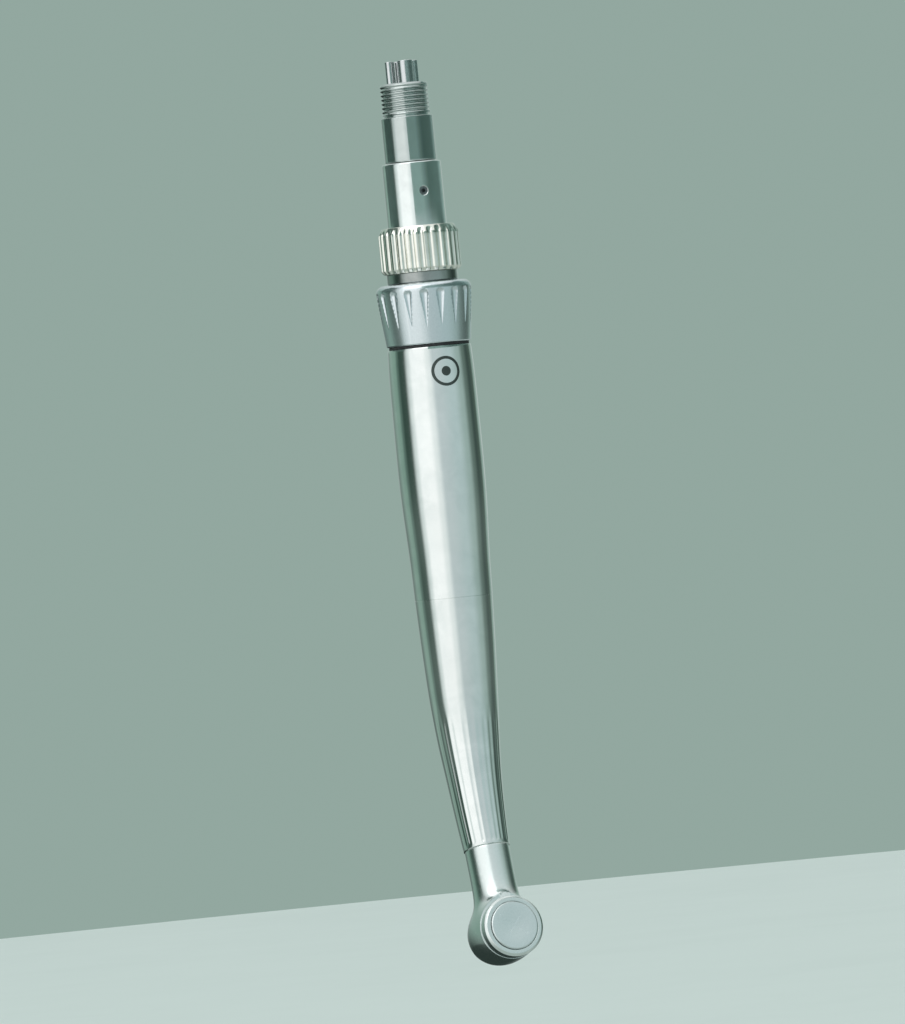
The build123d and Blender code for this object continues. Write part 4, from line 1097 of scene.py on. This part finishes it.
def make_nose():
    """The nose's pieces: the spray ring with its jets, and the spindle's rounded end with the chuck."""
    low, high, outer = head_span("spray_ring")
    inner = 2.0 * MM
    corners = [(outer, high, 0), (outer, low, 0.1), (inner, low, 0.1), (inner, high, 0)]
    ring = turned_mesh(outline(corners), 128, HEAD)
    jets = []
    middle = 0.5 * (outer + inner)
    for turn in THIRDS:
        off = HEAD[0] @ np.array([middle * np.cos(turn), middle * np.sin(turn), 0])
        place = (HEAD[0], HEAD_MIDDLE + off)
        jets.append(plug_mesh(0.22 * MM, low - 0.5 * MM, high + 0.5 * MM, place, 24))
    add_piece("spray_ring_face", cut_away(ring, jets), "handpiece", "spray_steel", "spray_ring")
    low, high, outer = head_span("spindle")
    bore = 1.2 * MM
    corners = [(outer, high, 0.05), (outer, low, 0.12), (bore, low, 0.04), (bore, high, 0.04)]
    mesh = turned_mesh(between(outline(corners), 0.8 * MM), 96, HEAD)
    add_piece("turbine_shaft", mesh, "rotor", "turbine_steel", "spindle")
    low, high, outer = head_span("collet")
    bore = 0.8 * MM
    lead = 0.15 * MM
    corners = [(outer, high, 0.05), (outer, low, 0.05), (bore + lead, low, 0), (bore, low + lead, 0),
               (bore, high, 0)]
    sleeve = turned_mesh(between(outline(corners), 0.8 * MM), 72, HEAD)
    saws = []
    for turn in THIRDS:
        out = np.array([np.cos(turn), np.sin(turn), 0])
        side = np.array([-np.sin(turn), np.cos(turn), 0])
        box = [s * 0.1 * MM * side + r * out + np.array([0, 0, z]) for z in (low + 2.5 * MM, high + 1 * MM)
               for r in (0.0, 2 * MM) for s in (-1, 1)]
        saws.append(new_mesh(np.array(box) @ HEAD[0].T + HEAD_MIDDLE, [BOX_SIDES]))
    add_piece("chuck_jaws", cut_away(sleeve, saws), "rotor", "turbine_steel", "collet")


# ------------------------------------------------------------------ all pieces
make_tail()
for pipe_name in ("drive_air_pipe", "exhaust_pipe", "water_pipe", "chip_air_pipe"):
    make_pipe(pipe_name)
make_collar()
make_spigot()
make_lock_ring()
make_release_ring()
make_ring_cover()
make_liner()
make_grip()
make_groove_seal_painted_shade()
make_rear_shell()
make_front_shell()
make_head_body()
make_cap()
make_button()
make_springs()
make_nose()


# ------------------------------------------------------------------ camera
CAMERA_AZIMUTH = math.radians(-20.0)
CAMERA_DISTANCE = 1.557
CAMERA_ROLL = math.radians(5.6)
LENS_MM = 308.0
TO_CAMERA = Vector((math.sin(CAMERA_AZIMUTH), -math.cos(CAMERA_AZIMUTH), 0.0))
TO_RIGHT = Vector((math.cos(CAMERA_AZIMUTH), math.sin(CAMERA_AZIMUTH), 0.0))


def add_camera():
    """A long lens level with the object, rolled so that the coupler leans to the left."""
    low, high = cad_box
    middle = (Vector(low) + Vector(high)) / 2
    view_up = math.cos(CAMERA_ROLL) * Vector((0, 0, 1)) + math.sin(CAMERA_ROLL) * TO_RIGHT
    view_right = view_up.cross(TO_CAMERA)
    turn = Matrix((view_right, view_up, TO_CAMERA)).transposed().to_4x4()
    data = bpy.data.cameras.new("camera")
    data.lens = LENS_MM
    data.clip_start, data.clip_end = 0.05, 20.0
    camera = bpy.data.objects.new("camera", data)
    camera.matrix_world = Matrix.Translation(middle + TO_CAMERA * CAMERA_DISTANCE) @ turn
    bpy.context.scene.collection.objects.link(camera)
    bpy.context.scene.camera = camera


# ------------------------------------------------------------------ studio
FLOOR_R = 1.0
FLOOR_SIDES = 96
FLOOR_DROP = 0.030        # room for the handpiece to be pulled off its coupler
BACKDROP = (0.29, 0.39, 0.35)


def add_to_stage(name, points, quads, material):
    """A plain object of the studio, which is no part of the handpiece."""
    mesh = bpy.data.meshes.new(name)
    mesh.from_pydata(points.tolist(), [], quads.tolist())
    mesh.materials.append(material)
    item = bpy.data.objects.new(name, mesh)
    bpy.context.scene.collection.objects.link(item)
    return item


def add_floor():
    """A plain pale round floor under the hanging object, which is clear from below."""
    turn = np.linspace(0, 2 * np.pi, FLOOR_SIDES, endpoint=False)
    height = np.full(FLOOR_SIDES, cad_box[0][2] - FLOOR_DROP)
    points = np.stack([FLOOR_R * np.cos(turn), FLOOR_R * np.sin(turn), height], axis=1)
    material, tree, shader = start_material("Pale floor", 0.0, 0.7)
    smudges = use(tree, SMUDGES, Scale=9.0, Amount=0.5)
    tone = mix_colours(tree, smudges.outputs["Mask"], (0.66, 0.74, 0.71), (0.63, 0.71, 0.68))
    tree.links.new(tone, shader.inputs["Base Color"])
    side = tree.nodes.new("ShaderNodeNewGeometry")
    tree.links.new(math_node(tree, "SUBTRACT", 1.0, side.outputs["Backfacing"]), shader.inputs["Alpha"])
    floor = add_to_stage("floor", points, np.arange(FLOOR_SIDES)[None, :], material)
    floor.visible_glossy = False


# Brightness of the studio all round, by angle from the camera to its right, in degrees.
STUDIO = (
    (-180, (0.48, 0.56, 0.54)), (-168, (0.48, 0.56, 0.54)), (-152, (0.30, 0.42, 0.37)),
    (-116, (0.22, 0.35, 0.29)), (-104, (0.10, 0.17, 0.14)), (-96, (0.04, 0.075, 0.06)),
    (-80, (0.05, 0.085, 0.07)), (-66, (0.75, 0.84, 0.82)), (-54, (1.1, 1.15, 1.14)),
    (-22, (1.12, 1.16, 1.15)), (-8, (0.9, 0.97, 0.96)), (8, (0.56, 0.65, 0.66)),
    (54, (0.47, 0.60, 0.60)), (82, (0.33, 0.45, 0.42)), (100, (0.12, 0.18, 0.155)),
    (116, (0.05, 0.08, 0.07)), (132, (0.07, 0.11, 0.09)), (148, (0.30, 0.42, 0.37)),
    (166, (0.48, 0.56, 0.54)), (180, (0.48, 0.56, 0.54)),
)
CEILING = (0.95, 1.0, 1.0)
UNDERSIDE = (0.42, 0.50, 0.47)
# The dark corner that the head's underside mirrors lies behind, below and to the left.
CORNER = (0.03, 0.045, 0.04)
CORNER_AT = (Vector((0, 0, -0.55)) - 0.75 * TO_CAMERA - 0.30 * TO_RIGHT).normalized()


def add_world():
    """A plain pale room: a broad soft light at front left, grey walls, and dark cards at the sides."""
    world = bpy.data.worlds.new("studio")
    bpy.context.scene.world = world
    world.use_nodes = True
    tree = world.node_tree
    tree.nodes.clear()
    out = tree.nodes.new("ShaderNodeOutputWorld")
    way = tree.nodes.new("ShaderNodeTexCoord").outputs["Generated"]
    turn = math_node(tree, "ARCTAN2", dot_node(tree, way, TO_RIGHT), dot_node(tree, way, TO_CAMERA))
    share = math_node(tree, "MULTIPLY_ADD", turn, 1 / (2 * math.pi), 0.5)
    ramp = tree.nodes.new("ShaderNodeValToRGB")
    ramp.color_ramp.interpolation = "EASE"
    stops = ramp.color_ramp.elements
    while len(stops) < len(STUDIO):
        stops.new(0.5)
    for stop, (degrees, colour) in zip(stops, STUDIO):
        stop.position = degrees / 360 + 0.5
        stop.color = (*colour, 1.0)
    tree.links.new(share, ramp.inputs["Fac"])
    height = dot_node(tree, way, (0, 0, 1))
    room = ramp.outputs["Color"]
    above = math_node(tree, "MULTIPLY_ADD", height, 1.6, -0.45, clamp=True)
    below = math_node(tree, "MULTIPLY_ADD", height, -1.6, 0.0, clamp=True)
    corner = math_node(tree, "MULTIPLY_ADD", dot_node(tree, way, CORNER_AT), 6.0, -4.5, clamp=True)
    for factor, colour in ((above, CEILING), (below, UNDERSIDE), (corner, CORNER)):
        room = mix_colours(tree, factor, room, colour)
    lit = tree.nodes.new("ShaderNodeBackground")
    tree.links.new(room, lit.inputs["Color"])
    plain = tree.nodes.new("ShaderNodeBackground")
    plain.inputs["Color"].default_value = (*BACKDROP, 1.0)
    seen = tree.nodes.new("ShaderNodeLightPath")
    choose = tree.nodes.new("ShaderNodeMixShader")
    tree.links.new(seen.outputs["Is Camera Ray"], choose.inputs["Fac"])
    tree.links.new(lit.outputs[0], choose.inputs[1])
    tree.links.new(plain.outputs[0], choose.inputs[2])
    tree.links.new(choose.outputs[0], out.inputs["Surface"])


CARD_R = 0.12
CARD_STEPS = 90
CARD_FOOT = level("release_ring", 1) + 4 * MM
CARD_TOP = 0.10


def strip(start_deg, end_deg):
    """A strip of an upright cylinder about the coupler's axis, as points and quads.

    It runs between two angles, from the camera to its right.
    """
    turn = np.radians(np.linspace(start_deg, end_deg, CARD_STEPS))
    rim = CARD_R * (np.sin(turn)[:, None] * np.array(TO_RIGHT)
                    + np.cos(turn)[:, None] * np.array(TO_CAMERA))
    points = np.concatenate([rim + np.array([0, 0, CARD_FOOT]), rim + np.array([0, 0, CARD_TOP])])
    return points, grid_quads(2, CARD_STEPS, False, False)


def add_card(name, shape, colour, far_colour):
    """A dull card that is seen only in reflections, as a studio flag is.

    It fades to its far colour towards the camera's right.
    """
    material, tree, shader = start_material(name, 0.0, 0.9)
    rightward = dot_node(tree, object_place(tree), TO_RIGHT)
    fade = math_node(tree, "MULTIPLY_ADD", rightward, 24.0, -1.58, clamp=True)
    tree.links.new(mix_colours(tree, fade, colour, far_colour), shader.inputs["Base Color"])
    card = add_to_stage(name, *shape, material)
    card.visible_camera = False
    card.visible_shadow = False
    card.visible_diffuse = False


def add_softbox(name, azimuth_deg, elevation_deg, distance, width, height, power):
    """A soft rectangular light that faces the middle of the object."""
    low, high = cad_box
    middle = (Vector(low) + Vector(high)) / 2
    a, e = math.radians(azimuth_deg), math.radians(elevation_deg)
    back = Vector((math.sin(a) * math.cos(e), -math.cos(a) * math.cos(e), math.sin(e)))
    data = bpy.data.lights.new(name, "AREA")
    data.shape = "RECTANGLE"
    data.size, data.size_y = width, height
    data.energy = power
    lamp = bpy.data.objects.new(name, data)
    lamp.location = middle + back * distance
    lamp.rotation_euler = back.to_track_quat("Z", "Y").to_euler()
    bpy.context.scene.collection.objects.link(lamp)


add_camera()
add_floor()
add_world()
add_card("right_card", strip(-4.0, 140.0), (0.46, 0.60, 0.58), (0.14, 0.22, 0.20))
add_card("left_card", strip(235.0, 285.0), (0.14, 0.20, 0.18), (0.14, 0.20, 0.18))
add_softbox("key_light", -45.0, 50.0, 1.6, 1.4, 1.4, 4.0)
bpy.context.scene.view_settings.view_transform = "Standard"
